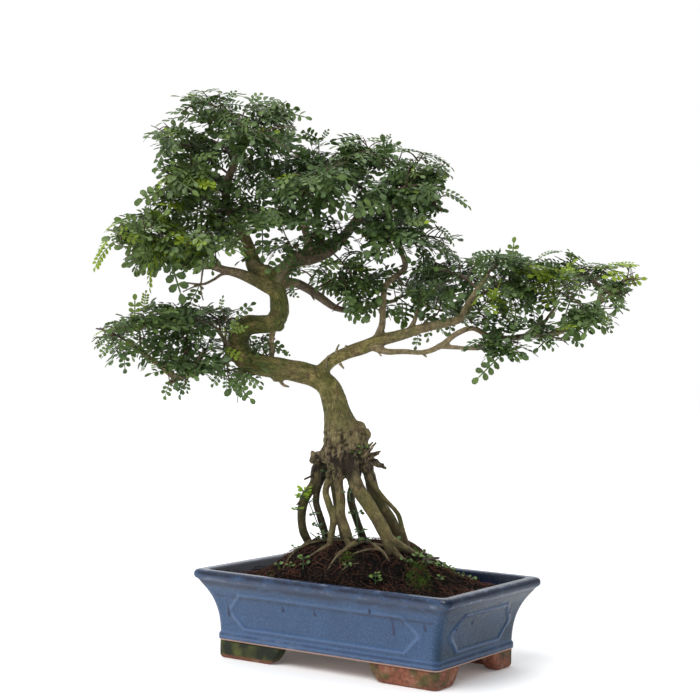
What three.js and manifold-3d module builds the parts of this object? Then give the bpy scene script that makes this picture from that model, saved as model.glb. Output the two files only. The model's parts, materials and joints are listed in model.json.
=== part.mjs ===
// A Chinese pepper bonsai on exposed roots, in a blue glazed rectangular pot.
// Millimetres, +Z up. The long front of the pot faces -Y and the pot stands on Z = 0.
// The tree's points are given as seen from its best side: x to the right, y away, z up from the table.

import * as THREE from 'three';
import { mergeVertices } from 'three/addons/utils/BufferGeometryUtils.js';
import Module from 'manifold-3d';

const wasm = await Module();
wasm.setup();

// Driving dimensions
const POT_LENGTH = 300;
const POT_WIDTH = 186;
const FOOT_HEIGHT = 18;
const FOOT_THICKNESS = 15;
const FOOT_ALONG_LENGTH = 76;
const FOOT_ALONG_WIDTH = 42;
const FOOT_SLANT = 12;
const FOOT_INSET_ENDS = 20.6;
const FOOT_INSET_SIDES = 21.6;
const CORNER_RADIUS = 7;
const PANEL_LOW = 32;
const PANEL_HIGH = 67;
const PANEL_MARGIN = 22;
const PANEL_CHAMFER = 12;
const PANEL_INSET = 18;
const BEAD_WIDTH = 3.4;
const BEAD_RISE = 1.3;
const BEAD_SUNK = 0.9;
const DRAIN_RADIUS = 8;
const DRAIN_SPACING = 120;
const SCREEN_SIDE = 30;
const SCREEN_THICKNESS = 1.2;
const SOIL_AT_WALL = 77;
const MOUND_HEIGHT = 42;
const CLEARANCE = 0.35;
const TREE_TURN = THREE.MathUtils.degToRad(34);
const LEAF_THICKNESS = 0.8;
const LEAF_RIB = 1.5;
const LEAF_SUNK = 0.7;
const LEAFLET_LENGTH = 13.5;
const LEAFLET_SPACING = 10.5;
const LEAF_STALK = 9;
const LEAFLET_PAIRS = 2;
const LEAF_DROOP = 0.32;
const PAD_HALF_HEIGHT = 30;
const TWIG_LENGTH = 26;
const SEAT_GAP = 0.3;

// Colours
const GLAZE = 0x4f6d99;
const SCREEN_BLACK = 0x1c1c1e;
const SOIL_BROWN = 0x2a1c12;
const BARK = 0x7a6c48;
const LEAF_GREEN = 0x2f5a2a;
const SEEDLING_GREEN = 0x5d9a2c;

// Solids in and out of the join and cut library

function solidFrom(geometry) {
  const bare = geometry.clone();
  bare.deleteAttribute('normal');
  bare.deleteAttribute('uv');
  const welded = mergeVertices(bare, 1e-4);
  return new wasm.Manifold(new wasm.Mesh({
    numProp: 3,
    vertProperties: Float32Array.from(welded.attributes.position.array),
    triVerts: Uint32Array.from(welded.index.array),
  }));
}

function geometryFrom(solid) {
  const mesh = solid.getMesh();
  const geometry = new THREE.BufferGeometry();
  const positions = Float32Array.from(mesh.vertProperties);
  geometry.setAttribute('position', new THREE.BufferAttribute(positions, 3));
  geometry.setIndex(new THREE.BufferAttribute(Uint32Array.from(mesh.triVerts), 1));
  geometry.computeVertexNormals();
  return geometry;
}

function joined(solids) {
  let whole = solids[0];
  for (const solid of solids.slice(1)) {
    whole = whole.add(solid);
  }
  return whole;
}

function meshOf(name, geometry, color, roughness) {
  const material = new THREE.MeshStandardMaterial({ color, roughness, metalness: 0 });
  const mesh = new THREE.Mesh(geometry, material);
  mesh.name = name;
  return mesh;
}

// Closed shapes made ring by ring: every ring has the same number of points, counter-clockwise from above

function stackGeometry(rings) {
  const count = rings[0].length;
  const index = [];
  for (let level = 0; level + 1 < rings.length; level += 1) {
    for (let i = 0; i < count; i += 1) {
      const a = level * count + i;
      const b = level * count + ((i + 1) % count);
      index.push(a, b, b + count, a, b + count, a + count);
    }
  }
  const last = (rings.length - 1) * count;
  for (let i = 1; i + 1 < count; i += 1) {
    index.push(0, i + 1, i);
    index.push(last, last + i, last + i + 1);
  }
  return indexedGeometry(rings.flat(), index);
}

function indexedGeometry(points, index) {
  const geometry = new THREE.BufferGeometry();
  const positions = points.flatMap((p) => [p.x, p.y, p.z]);
  geometry.setAttribute('position', new THREE.Float32BufferAttribute(positions, 3));
  geometry.setIndex(index);
  return geometry;
}

// A round bar along a smooth line; each knot is x, y, z and the radius there
function barGeometry(knots, sides, steps, swell = 0) {
  const line = new THREE.CatmullRomCurve3(knots.map((k) => new THREE.Vector3(k[0], k[1], k[2])));
  const frames = line.computeFrenetFrames(steps, false);
  const rings = [];
  for (let i = 0; i <= steps; i += 1) {
    const along = line.getUtoTmapping(i / steps) * (knots.length - 1);
    const before = Math.min(Math.floor(along), knots.length - 2);
    const radius = THREE.MathUtils.lerp(knots[before][3], knots[before + 1][3], along - before) + swell;
    const centre = line.getPointAt(i / steps);
    const ring = [];
    for (let side = 0; side < sides; side += 1) {
      const angle = (side / sides) * Math.PI * 2;
      ring.push(centre.clone()
        .addScaledVector(frames.normals[i], Math.cos(angle) * radius)
        .addScaledVector(frames.binormals[i], Math.sin(angle) * radius));
    }
    rings.push(ring);
  }
  return stackGeometry(rings);
}

// Pot: one fired piece, its wall flaring out to a rounded lip, on four corner feet

// How far the wall stands in from the lip, going up the outside, over the lip and down the inside
const OUTER_WALL = [
  [20.2, 18], [19.3, 19.5], [19.3, 24.5], [20.5, 26.5], [20.0, 36], [18.6, 46],
  [15.6, 57], [11, 67], [5.4, 75.5], [3.2, 78.8],
];
const LIP = [[0.7, 80.5], [0, 83.5], [0.8, 87], [3.2, 89], [10.5, 89], [12.6, 86.5]];
const INNER_WALL = [[13, 80], [20, 63], [27, 42], [32, 26]];
const FLARE_ALONG_LENGTH = 1.07;
const FLARE_ALONG_WIDTH = 0.87;

function rectangleRing(inset, height, sideKnots = 0) {
  const halfLength = POT_LENGTH / 2 - inset * FLARE_ALONG_LENGTH;
  const halfWidth = POT_WIDTH / 2 - inset * FLARE_ALONG_WIDTH;
  const corners = [[1, -1, -90], [1, 1, 0], [-1, 1, 90], [-1, -1, 180]];
  const ring = [];
  for (const [signX, signY, startAngle] of corners) {
    for (const sweep of [0, 45, 90]) {
      const angle = THREE.MathUtils.degToRad(startAngle + sweep);
      ring.push(new THREE.Vector3(
        signX * (halfLength - CORNER_RADIUS) + Math.cos(angle) * CORNER_RADIUS,
        signY * (halfWidth - CORNER_RADIUS) + Math.sin(angle) * CORNER_RADIUS,
        height,
      ));
    }
    const [x, y] = [signX * (halfLength - CORNER_RADIUS), signY * (halfWidth - CORNER_RADIUS)];
    const alongWidth = signX * signY < 0;
    for (let k = 1; k <= sideKnots; k += 1) {
      const t = 1 - (2 * k) / (sideKnots + 1);
      ring.push(alongWidth
        ? new THREE.Vector3(signX * halfLength, y * t, height)
        : new THREE.Vector3(x * t, signY * halfWidth, height));
    }
  }
  return ring;
}

function insetAt(wall, height) {
  for (let i = 0; i + 1 < wall.length; i += 1) {
    const [[insetA, heightA], [insetB, heightB]] = [wall[i], wall[i + 1]];
    if ((height - heightA) * (height - heightB) <= 0) {
      return THREE.MathUtils.mapLinear(height, heightA, heightB, insetA, insetB);
    }
  }
  return wall[0][0];
}

// The raised bead round a panel with cut corners, one panel to each side of the pot
function panelBead(turn) {
  const alongLength = turn % 2 === 0;
  const across = alongLength ? POT_WIDTH / 2 : POT_LENGTH / 2;
  const flare = alongLength ? FLARE_ALONG_WIDTH : FLARE_ALONG_LENGTH;
  const wall = alongLength
    ? POT_LENGTH / 2 - PANEL_INSET * FLARE_ALONG_LENGTH
    : POT_WIDTH / 2 - PANEL_INSET * FLARE_ALONG_WIDTH;
  const half = wall - PANEL_MARGIN;
  const cut = PANEL_CHAMFER;
  const soft = cut * 0.4;
  const quarter = [[half, cut], [half - soft * 0.4, soft * 1.2], [half - cut, 0]];
  const tall = PANEL_HIGH - PANEL_LOW;
  const outline = [
    ...quarter.map(([u, v]) => [u, tall - v]),
    ...quarter.map(([u, v]) => [-u, tall - v]).reverse(),
    ...quarter.map(([u, v]) => [-u, v]),
    ...quarter.map(([u, v]) => [u, v]).reverse(),
  ];
  const middle = tall / 2;
  const onWall = (u, v, rise) => {
    const height = PANEL_LOW + v;
    const out = across - insetAt(OUTER_WALL, height) * flare + rise;
    const place = new THREE.Vector3(u, -out, height);
    return place.applyAxisAngle(new THREE.Vector3(0, 0, 1), (turn * Math.PI) / 2);
  };
  const shrink = BEAD_WIDTH / 2;
  const sections = outline.map(([u, v]) => {
    const inward = new THREE.Vector2(-u, (middle - v) * (half / middle)).normalize();
    return [
      onWall(u - inward.x * shrink, v - inward.y * shrink, -BEAD_SUNK),
      onWall(u, v, BEAD_RISE),
      onWall(u + inward.x * shrink, v + inward.y * shrink, -BEAD_SUNK),
    ];
  });
  const index = [];
  const count = sections.length;
  for (let i = 0; i < count; i += 1) {
    for (let side = 0; side < 3; side += 1) {
      const a = i * 3 + side;
      const b = i * 3 + ((side + 1) % 3);
      const c = ((i + 1) % count) * 3 + ((side + 1) % 3);
      const d = ((i + 1) % count) * 3 + side;
      index.push(a, c, b, a, d, c);
    }
  }
  return indexedGeometry(sections.flat(), index);
}

// One leg of an L-shaped corner foot: slanted inner end, eased lower corners
function footLeg(length, outerEdge, direction, side, across) {
  const end = outerEdge - length;
  const ease = 3;
  const outline = [
    [outerEdge, FOOT_HEIGHT + 1], [outerEdge, ease], [outerEdge - 1.4, 0.9], [outerEdge - ease, 0],
    [end + FOOT_SLANT + ease, 0], [end + FOOT_SLANT - 1, 1.6], [end + 1.5, FOOT_HEIGHT - 2.5],
    [end - 3, FOOT_HEIGHT + 1],
  ];
  const shape = new THREE.Shape(outline.map(([u, v]) => new THREE.Vector2(direction * u, v)));
  const leg = new THREE.ExtrudeGeometry(shape, { depth: FOOT_THICKNESS, bevelEnabled: false });
  leg.rotateX(Math.PI / 2);
  leg.translate(0, FOOT_THICKNESS / 2, 0);
  if (across) {
    leg.rotateZ(Math.PI / 2);
    leg.translate(side, 0, 0);
  } else {
    leg.translate(0, side, 0);
  }
  return leg;
}

function makePot() {
  const walls = [...OUTER_WALL, ...LIP, ...INNER_WALL];
  const parts = [solidFrom(stackGeometry(walls.map(([inset, height]) => rectangleRing(inset, height))))];
  for (let turn = 0; turn < 4; turn += 1) {
    parts.push(solidFrom(panelBead(turn)));
  }
  const footX = POT_LENGTH / 2 - FOOT_INSET_ENDS * FLARE_ALONG_LENGTH;
  const footY = POT_WIDTH / 2 - FOOT_INSET_SIDES * FLARE_ALONG_WIDTH;
  for (const signX of [-1, 1]) {
    for (const signY of [-1, 1]) {
      const sideY = signY * (footY - FOOT_THICKNESS / 2);
      const sideX = signX * (footX - FOOT_THICKNESS / 2);
      parts.push(solidFrom(footLeg(FOOT_ALONG_LENGTH, footX, signX, sideY, false)));
      parts.push(solidFrom(footLeg(FOOT_ALONG_WIDTH, footY, signY, sideX, true)));
    }
  }
  let pot = joined(parts);
  for (const side of [-1, 1]) {
    const drain = new THREE.CylinderGeometry(DRAIN_RADIUS, DRAIN_RADIUS, 20, 12);
    drain.rotateX(Math.PI / 2);
    drain.translate((side * DRAIN_SPACING) / 2, 0, FOOT_HEIGHT + 4);
    pot = pot.subtract(solidFrom(drain));
  }
  return pot;
}

// Drain screens: squares of plastic net that lie on the pot's floor over the two holes

const FLOOR = INNER_WALL.at(-1)[1];

function makeScreen(sideSign) {
  const middle = [(sideSign * DRAIN_SPACING) / 2, 0, FLOOR + SEAT_GAP + SCREEN_THICKNESS / 2];
  const plate = new THREE.BoxGeometry(SCREEN_SIDE, SCREEN_SIDE, SCREEN_THICKNESS).translate(...middle);
  let screen = solidFrom(plate);
  const opening = SCREEN_SIDE / 4;
  for (const u of [-1, 1]) {
    for (const v of [-1, 1]) {
      const hole = new THREE.BoxGeometry(opening, opening, SCREEN_THICKNESS * 3);
      hole.translate(middle[0] + u * opening * 0.75, v * opening * 0.75, middle[2]);
      screen = screen.subtract(solidFrom(hole));
    }
  }
  return screen;
}

// Tree: trunk, boughs and roots, grown as one piece. Every knot is x, y, z and radius

const TRUNK = [
  [-23, 2, 191, 17], [-22, 1, 209, 21], [-24, 0, 223, 22], [-29, 0, 237, 17], [-32, 0, 249, 13.5],
  [-36, 0, 263, 12], [-41, 0, 274, 11.5], [-51, 0, 282, 11], [-66, -3, 288, 11], [-84, -6, 291, 10.5],
  [-104, -7, 294, 10.5], [-122, -3, 299, 11], [-132, 3, 310, 11], [-132, 6, 323, 10.5], [-124, 5, 334, 10],
  [-111, 2, 336, 9.5], [-99, 0, 337, 9.5], [-92, 0, 346, 9.5], [-92, 0, 360, 9], [-96, 0, 376, 8.5],
];
const BOUGHS = {
  leader: [
    [-96, 0, 376, 8.5], [-109, 4, 385, 9], [-118, 7, 396, 8.5], [-124, 10, 414, 6], [-132, 12, 430, 5.5],
    [-143, 14, 447, 5], [-148, 14, 464, 4.5], [-145, 12, 484, 4.2], [-137, 8, 502, 3.6], [-131, 5, 520, 3],
    [-131, 2, 536, 2],
  ],
  leftBough: [
    [-99, -1, 374, 6.5], [-113, -6, 381, 5], [-130, -11, 387, 4.6], [-148, -16, 390, 4.2],
    [-163, -21, 394, 3.6], [-179, -26, 398, 3], [-196, -30, 405, 2.4],
  ],
  rightLimb: [
    [-96, 0, 378, 8], [-87, 5, 392, 8], [-74, 9, 401, 8], [-56, 14, 405, 7], [-41, 19, 413, 6],
    [-28, 23, 427, 5.2], [-17, 26, 442, 4.8], [-5, 28, 461, 4], [13, 24, 481, 3.4], [38, 18, 494, 2.6],
  ],
  frontRise: [[-63, 11, 403, 5.5], [-65, 2, 421, 4], [-69, -8, 438, 3.5], [-74, -18, 459, 2.6]],
  backRise: [[-53, 14, 406, 5], [-52, 24, 424, 3.8], [-56, 34, 449, 3.2], [-56, 42, 475, 2.4]],
  darkBough: [
    [-96, 1, 374, 6.5], [-78, 8, 378, 5], [-63, 18, 372, 4.5], [-51, 28, 364, 4.2], [-35, 38, 354, 3.6],
    [-15, 46, 352, 3.2], [5, 54, 358, 2.8], [29, 60, 364, 2.2],
  ],
  longBough: [
    [-52, 0, 281, 9], [-37, -4, 298, 8.5], [-25, -8, 306, 7.5], [-8, -12, 315, 7], [10, -15, 322, 6.5],
    [29, -18, 327, 5.5], [53, -22, 335, 5], [74, -25, 340, 4.6], [88, -28, 345, 4.4], [97, -31, 361, 4],
    [105, -33, 375, 3.2], [114, -34, 388, 2.4],
  ],
  longLower: [
    [0, -13, 319, 5.2], [14, -20, 312, 4.4], [33, -26, 312, 4], [53, -31, 312, 3.6], [69, -35, 318, 3.4],
    [83, -37, 329, 3], [99, -38, 335, 2.8], [115, -37, 328, 2.8], [135, -34, 326, 3], [157, -29, 329, 3.2],
    [179, -24, 331, 3.2], [199, -18, 339, 3.2], [216, -13, 349, 3], [226, -9, 364, 2.8], [228, -6, 378, 2.2],
  ],
  lowerTip: [[65, -34, 317, 3], [83, -42, 316, 2.3], [104, -50, 315, 2]],
  longRise: [
    [5, -14, 319, 4.8], [11, -10, 336, 3.6], [12, -4, 356, 3.4], [14, 4, 376, 3.2], [25, 10, 387, 3.2],
    [34, 14, 396, 3.2], [30, 18, 411, 2.8], [22, 22, 428, 2.2],
  ],
  smallRise: [[36, -19, 328, 3.4], [44, -14, 344, 2.4], [47, -8, 358, 2], [53, -2, 373, 1.7]],
  outerRise: [[160, -29, 329, 2.8], [172, -22, 344, 2.1], [183, -16, 358, 1.8]],
  outerSide: [[225, -9, 361, 2.6], [239, -12, 372, 1.9], [252, -14, 382, 1.7]],
  lowLeft: [
    [-128, 2, 309, 8], [-141, -4, 302, 4.8], [-152, -11, 293, 4.2], [-165, -18, 290, 4],
    [-178, -24, 285, 3.8], [-192, -28, 283, 3.4], [-206, -29, 293, 3], [-222, -28, 304, 2.6],
    [-238, -26, 316, 2],
  ],
  lowLeftStub: [[-183, -25, 284, 3.2], [-199, -30, 275, 2.4]],
  lowLeftRise: [[-179, -24, 285, 3.2], [-183, -16, 305, 2.3], [-182, -6, 327, 1.8]],
  lowLeftBack: [[-141, -3, 302, 3.6], [-147, 12, 319, 2.6], [-158, 26, 333, 2]],
};
const TRUNK_SIDES = 7;
const ROOT_SIDES = 5;
const ROOTS = [
  [
    [-36, 4, 214, 9], [-51, 6, 192, 6], [-53, 8, 178, 5.2], [-63, 10, 161, 5], [-66, 12, 144, 4.6],
    [-64, 14, 128, 4.4], [-57, 16, 113, 4.2], [-50, 18, 92, 3.6],
  ],
  [[-35, 14, 208, 8], [-46, 20, 183, 4.2], [-52, 24, 158, 3.6], [-46, 26, 138, 3.4], [-39, 29, 117, 3.2],
    [-34, 32, 95, 2.8]],
  [[-34, -8, 209, 8], [-37, -12, 188, 4.4], [-42, -14, 172, 3.8], [-38, -16, 158, 3.6], [-34, -18, 143, 3.4],
    [-36, -20, 124, 3.4], [-38, -22, 100, 2.8]],
  [[-28, -12, 210, 10], [-30, -16, 187, 5.6], [-27, -18, 165, 5.2], [-26, -20, 147, 5], [-19, -24, 128, 5],
    [-12, -28, 103, 4]],
  [[-20, -12, 212, 12], [-16, -17, 189, 7.4], [-8, -21, 172, 7], [3, -24, 156, 6.6], [13, -28, 140, 6.6],
    [21, -31, 124, 6.4], [26, -34, 100, 4.6]],
  [[-10, 4, 211, 12], [0, 6, 191, 6.6], [5, 8, 173, 6.2], [13, 9, 157, 6], [24, 10, 141, 5.8],
    [33, 11, 121, 5.6], [38, 12, 97, 4]],
  [[-8, -6, 209, 7], [1, -7, 185, 3], [15, -8, 166, 2.6], [30, -9, 150, 2.5], [35, -10, 135, 2.5],
    [42, -12, 115, 2.4], [46, -13, 99, 2]],
  [[-16, 18, 208, 9], [-11, 26, 185, 5], [-17, 34, 162, 4.4], [-11, 40, 139, 4], [-2, 46, 114, 3.8],
    [3, 50, 90, 3]],
];
const KNOTS = [
  [-6, -3, 228, 9], [-10, -9, 235, 8], [-40, -9, 206, 7], [-14, -16, 216, 9], [-106, 2, 388, 10],
];
const SNAGS = [
  [[-6, -8, 209, 4.5], [6, -12, 203, 2.8], [15, -15, 197, 2.2]],
  [[-40, 0, 209, 5], [-50, -5, 206, 3.6], [-56, -8, 209, 2.2]],
  [[-8, -12, 212, 4], [2, -18, 217, 2], [5, -21, 226, 1.2]],
];

// Soil: fills the pot and rises in a mound under the roots

const MOUND_CENTRE = [-7, 2];
const MOUND_REACH = [88, 74];

function soilHeight(x, y) {
  const [front, side] = [Math.cos(TREE_TURN), Math.sin(TREE_TURN)];
  const across = (x * front + y * side - MOUND_CENTRE[0]) / MOUND_REACH[0];
  const away = (y * front - x * side - MOUND_CENTRE[1]) / MOUND_REACH[1];
  const mound = Math.exp(-((across ** 2 + away ** 2) ** 2));
  return SOIL_AT_WALL + MOUND_HEIGHT * mound + Math.sin(x * 0.09) * 0.8 + Math.cos(y * 0.11) * 0.8;
}

function makeSoil(cutters) {
  const sideKnots = 1;
  const rings = [];
  const wall = [...INNER_WALL].reverse();
  for (const [inset, height] of wall.slice(0, -1)) {
    const level = height === FLOOR ? FLOOR + 0.3 : height;
    rings.push(rectangleRing(inset + CLEARANCE, level, sideKnots));
  }
  const edgeInset = insetAt(INNER_WALL, SOIL_AT_WALL) + CLEARANCE + 0.3;
  const edge = rectangleRing(edgeInset, SOIL_AT_WALL, sideKnots);
  for (const share of [1, 0.8, 0.6, 0.4, 0.18]) {
    rings.push(edge.map((p) => {
      const [x, y] = [p.x * share, p.y * share];
      return new THREE.Vector3(x, y, share === 1 ? SOIL_AT_WALL - 1 : soilHeight(x, y));
    }));
  }
  let soil = solidFrom(stackGeometry(rings));
  for (const cutter of cutters) {
    soil = soil.subtract(cutter);
  }
  return soil;
}

// Leaf: a thin arched blade cut to the rib into rounded leaflets, one at the tip and the rest in pairs

function leafGeometry() {
  const rib = LEAF_RIB / 2;
  const spread = LEAFLET_LENGTH;
  const stations = [-LEAF_SUNK, LEAF_STALK];
  for (let pair = 0; pair < LEAFLET_PAIRS; pair += 1) {
    stations.push(stations.at(-1) + LEAFLET_SPACING);
  }
  const end = stations.at(-1);
  const lift = (s) => (-LEAF_DROOP * s * s) / end;
  const points = [];
  const add = (s, side, hang) => {
    points.push([s, side, lift(s) - hang]);
    return points.length - 1;
  };
  const left = stations.map((s) => add(s, rib, 0));
  const right = stations.map((s) => add(s, -rib, 0));
  const faces = [];
  const border = [];
  for (let i = 0; i + 1 < stations.length; i += 1) {
    faces.push([right[i], right[i + 1], left[i + 1]], [right[i], left[i + 1], left[i]]);
  }
  const rightBorder = [right[0]];
  const leftBorder = [left[0]];
  for (let i = 1; i + 1 < stations.length; i += 1) {
    const root = stations[i];
    const near = [root + spread * 0.22, rib + spread * 0.86];
    const far = [root + spread * 0.8, rib + spread * 0.78];
    for (const [side, chain, row] of [[1, leftBorder, left], [-1, rightBorder, right]]) {
      const a = add(near[0], side * near[1], 1.2);
      const b = add(far[0], side * far[1], 1);
      if (side > 0) {
        faces.push([row[i], row[i + 1], b], [row[i], b, a]);
      } else {
        faces.push([row[i], b, row[i + 1]], [row[i], a, b]);
      }
      chain.push(row[i], a, b);
    }
  }
  const [lastLeft, lastRight] = [left.at(-1), right.at(-1)];
  const tipLeft = add(end + spread * 0.86, spread * 0.3, 0.4);
  const tipRight = add(end + spread * 0.86, -spread * 0.3, 0.4);
  faces.push([lastRight, tipRight, tipLeft], [lastRight, tipLeft, lastLeft]);
  border.push(...rightBorder, lastRight, tipRight, tipLeft, lastLeft, ...leftBorder.reverse());
  const half = LEAF_THICKNESS / 2;
  const upper = points.map(([x, y, z]) => new THREE.Vector3(x, y, z + half));
  const lower = points.map(([x, y, z]) => new THREE.Vector3(x, y, z - half));
  const count = points.length;
  const index = [];
  for (const [a, b, c] of faces) {
    index.push(a, b, c, a + count, c + count, b + count);
  }
  for (let i = 0; i < border.length; i += 1) {
    const a = border[i];
    const b = border[(i + 1) % border.length];
    index.push(a, a + count, b + count, a, b + count, b);
  }
  return indexedGeometry([...upper, ...lower], index);
}

// Pads of foliage: the boughs that feed each pad and the places its leafy shoots grow out to

const PADS = [
  { name: 'apex', from: ['leader'],
    ends: [[-158, -6, 556], [-112, 8, 552], [-118, -34, 530], [-150, 40, 534]] },
  { name: 'shoulder', from: ['leader'], ends: [[-204, -6, 520], [-192, -26, 486], [-176, 34, 500]] },
  { name: 'mid_left', from: ['leftBough'],
    ends: [[-250, -30, 400], [-238, -52, 424], [-208, -12, 442], [-226, 14, 410]] },
  { name: 'inner_left', from: ['leader', 'leftBough'], ends: [[-180, 14, 456], [-168, -30, 424]] },
  { name: 'crown', from: ['frontRise', 'backRise', 'rightLimb'],
    ends: [[-42, -8, 512], [-92, 18, 492], [-66, -48, 486], [-48, 62, 500]] },
  { name: 'crown_right', from: ['rightLimb'],
    ends: [[8, 24, 512], [58, 8, 494], [66, 34, 462], [26, -28, 482]] },
  { name: 'heart', from: ['frontRise', 'rightLimb'], ends: [[-88, -44, 432]] },
  { name: 'right_centre', from: ['longRise', 'rightLimb'],
    ends: [[58, 26, 432], [14, -22, 440], [18, 54, 446]] },
  { name: 'low_centre', from: ['darkBough', 'longRise'], ends: [[48, 66, 376], [-16, 34, 392]] },
  { name: 'right_inner', from: ['longBough', 'smallRise'],
    ends: [[116, -34, 408], [86, -8, 396], [138, 4, 384]] },
  { name: 'right_outer', from: ['longLower', 'outerSide', 'outerRise'],
    ends: [[242, -16, 388], [212, 18, 398], [178, -30, 396], [208, -36, 352]] },
  { name: 'right_low', from: ['longLower', 'lowerTip'], ends: [[158, -50, 328], [112, -50, 312]] },
  { name: 'low_left', from: ['lowLeft', 'lowLeftRise'],
    ends: [[-246, -24, 320], [-226, -44, 344], [-216, 10, 340]] },
  { name: 'low_inner', from: ['lowLeftRise', 'lowLeftBack'], ends: [[-184, -2, 344], [-154, 30, 344]] },
  { name: 'low_under', from: ['lowLeft'], ends: [[-184, -36, 286]] },
];

// A repeatable draw of numbers between 0 and 1
function drawFrom(seed) {
  let state = seed;
  return () => {
    state = (state + 0x6d2b79f5) | 0;
    let t = Math.imul(state ^ (state >>> 15), 1 | state);
    t = (t + Math.imul(t ^ (t >>> 7), 61 | t)) ^ t;
    return ((t ^ (t >>> 14)) >>> 0) / 4294967296;
  };
}

const UP = new THREE.Vector3(0, 0, 1);
// How much higher a shoot ends than the middle of its pad: 1 at the top, a little under 0 below
function heightInPad(pad, number) {
  const middle = pad.ends.reduce((sum, end) => sum + end[2], 0) / pad.ends.length;
  return THREE.MathUtils.clamp((pad.ends[number][2] - middle) / PAD_HALF_HEIGHT, -0.3, 1);
}

function boughKnots(pad, used) {
  const places = [];
  for (const name of pad.from) {
    const knots = BOUGHS[name];
    const line = new THREE.CatmullRomCurve3(knots.map((k) => new THREE.Vector3(k[0], k[1], k[2])));
    for (let t = 0.34; t <= 1; t += 0.06) {
      const place = line.getPoint(Math.min(t, 0.99));
      const radius = knots[Math.round(Math.min(t, 0.99) * (knots.length - 1))][3];
      if (used.every((other) => other.distanceTo(place) > 9)) {
        places.push({ place, radius, along: line.getTangent(Math.min(t, 0.99)) });
      }
    }
  }
  return places;
}

// A leaf that grows from a point of a twig, turned to its own side and tilted up before it arches over
function placedLeaf(from, way, tilt, roll) {
  const flat = new THREE.Vector3(way.x, way.y, 0).normalize();
  const side = new THREE.Vector3().crossVectors(UP, flat).normalize();
  const pointed = flat.clone().applyAxisAngle(side, -tilt);
  const above = new THREE.Vector3().crossVectors(pointed, side).applyAxisAngle(pointed, roll);
  const across = new THREE.Vector3().crossVectors(above, pointed);
  const place = new THREE.Matrix4().makeBasis(pointed, across, above).setPosition(from);
  return solidFrom(LEAF.clone().applyMatrix4(place));
}

const LEAF = leafGeometry();

function boxesMeet(a, b) {
  return [0, 1, 2].every((k) => a.min[k] < b.max[k] + 1 && b.min[k] < a.max[k] + 1);
}

function isClear(solid, others, gap) {
  const box = solid.boundingBox();
  return others.every((other) => !boxesMeet(box, other.box) || solid.minGap(other.solid, 1) >= gap);
}

// The twig of a shoot, from its seat on the bough to its tip
function twigFrom(root, end, wood) {
  const toEnd = end.clone().sub(root.place);
  const length = Math.max(toEnd.length(), 20);
  const way = toEnd.normalize();
  const off = way.clone().addScaledVector(root.along, -way.dot(root.along) * 0.7).addScaledVector(UP, 0.25);
  off.normalize();
  const tip = root.place.clone().addScaledVector(way, length);
  for (let reach = root.radius * 0.8; reach < root.radius + 6; reach += 0.15) {
    const seat = root.place.clone().addScaledVector(off, reach);
    const bend = seat.clone().lerp(tip, 0.5).addScaledVector(off, 0.12 * length);
    const knots = [[seat, 2], [bend, 1.7], [tip, 1.4]].map(([p, radius]) => [p.x, p.y, p.z, radius]);
    const twig = solidFrom(barGeometry(knots, 4, 2));
    if (isClear(twig, wood, SEAT_GAP)) {
      const seated = !isClear(twig, wood, SEAT_GAP * 2);
      return seated ? { twig, way, line: new THREE.CatmullRomCurve3([seat, bend, tip]) } : null;
    }
  }
  return null;
}

const TURNS = [0, 0.5, -0.5, 1, -1, 1.6, -1.6, 2.4, -2.4, 3];
const LEAF_PLACES = [[1, 0], [0.84, 1.2], [0.68, -1.2]];
// The first shoots of a pad bear all their leaves, a fourth one bears one less
const FULL_SHOOTS = 3;

// The leaves of a shoot, each turned until it is clear of the rest of the tree and of its neighbours
function leavesOn(stem, most, lift, placed, draw) {
  const leaves = [];
  for (const [along, swing] of LEAF_PLACES.slice(0, most)) {
    for (const turn of TURNS) {
      const heading = stem.way.clone().applyAxisAngle(UP, swing + turn * 0.45 + (draw() - 0.5) * 0.3);
      const tilt = 0.75 * lift - 0.15 + (draw() - 0.5) * 0.6;
      const leaf = placedLeaf(stem.line.getPoint(along), heading, tilt, (draw() - 0.5) * 1.5);
      const crossed = leaves.some((other) => leaf.intersect(other).volume() > 0.02);
      if (!crossed && isClear(leaf, placed, SEAT_GAP)) {
        leaves.push(leaf);
        break;
      }
    }
  }
  return leaves;
}

function makeShoot(pad, number, wood, placed, used, draw) {
  for (const nudge of TURNS) {
    const end = new THREE.Vector3(...pad.ends[number]);
    end.add(new THREE.Vector3(nudge * 6, -nudge * 4, nudge * 4));
    const places = boughKnots(pad, used);
    const misfit = (root) => Math.abs(root.place.distanceTo(end) - TWIG_LENGTH);
    places.sort((a, b) => misfit(a) - misfit(b));
    for (const root of places.slice(0, 4)) {
      const stem = twigFrom(root, end, wood);
      if (!stem || !isClear(stem.twig, placed, SEAT_GAP)) {
        continue;
      }
      const most = number < FULL_SHOOTS ? LEAF_PLACES.length : LEAF_PLACES.length - 1;
      const leaves = leavesOn(stem, most, heightInPad(pad, number), placed, draw);
      if (leaves.length >= 2) {
        used.push(root.place);
        return joined([stem.twig, ...leaves]);
      }
    }
  }
  return null;
}

// Seedlings: small weeds that have come up in the soil, each with a stem and three leaves

const SEEDLINGS = [
  { name: 'seedling_front', foot: [8, -74], tall: 10 },
  { name: 'seedling_left', foot: [-62, -44], tall: 13 },
  { name: 'seedling_right', foot: [58, -34], tall: 12 },
];

function seedlingStem(foot, tall, swell) {
  const [x, y] = foot;
  const front = new THREE.Vector3(x, y, 0).applyAxisAngle(UP, TREE_TURN);
  const ground = soilHeight(front.x, front.y);
  const low = ground - 15 - swell;
  const knots = [[x, y, low, 1], [x + 0.5, y, ground, 1], [x + 2, y, ground + tall, 0.9]];
  return barGeometry(knots, 3, 2, swell);
}

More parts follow.
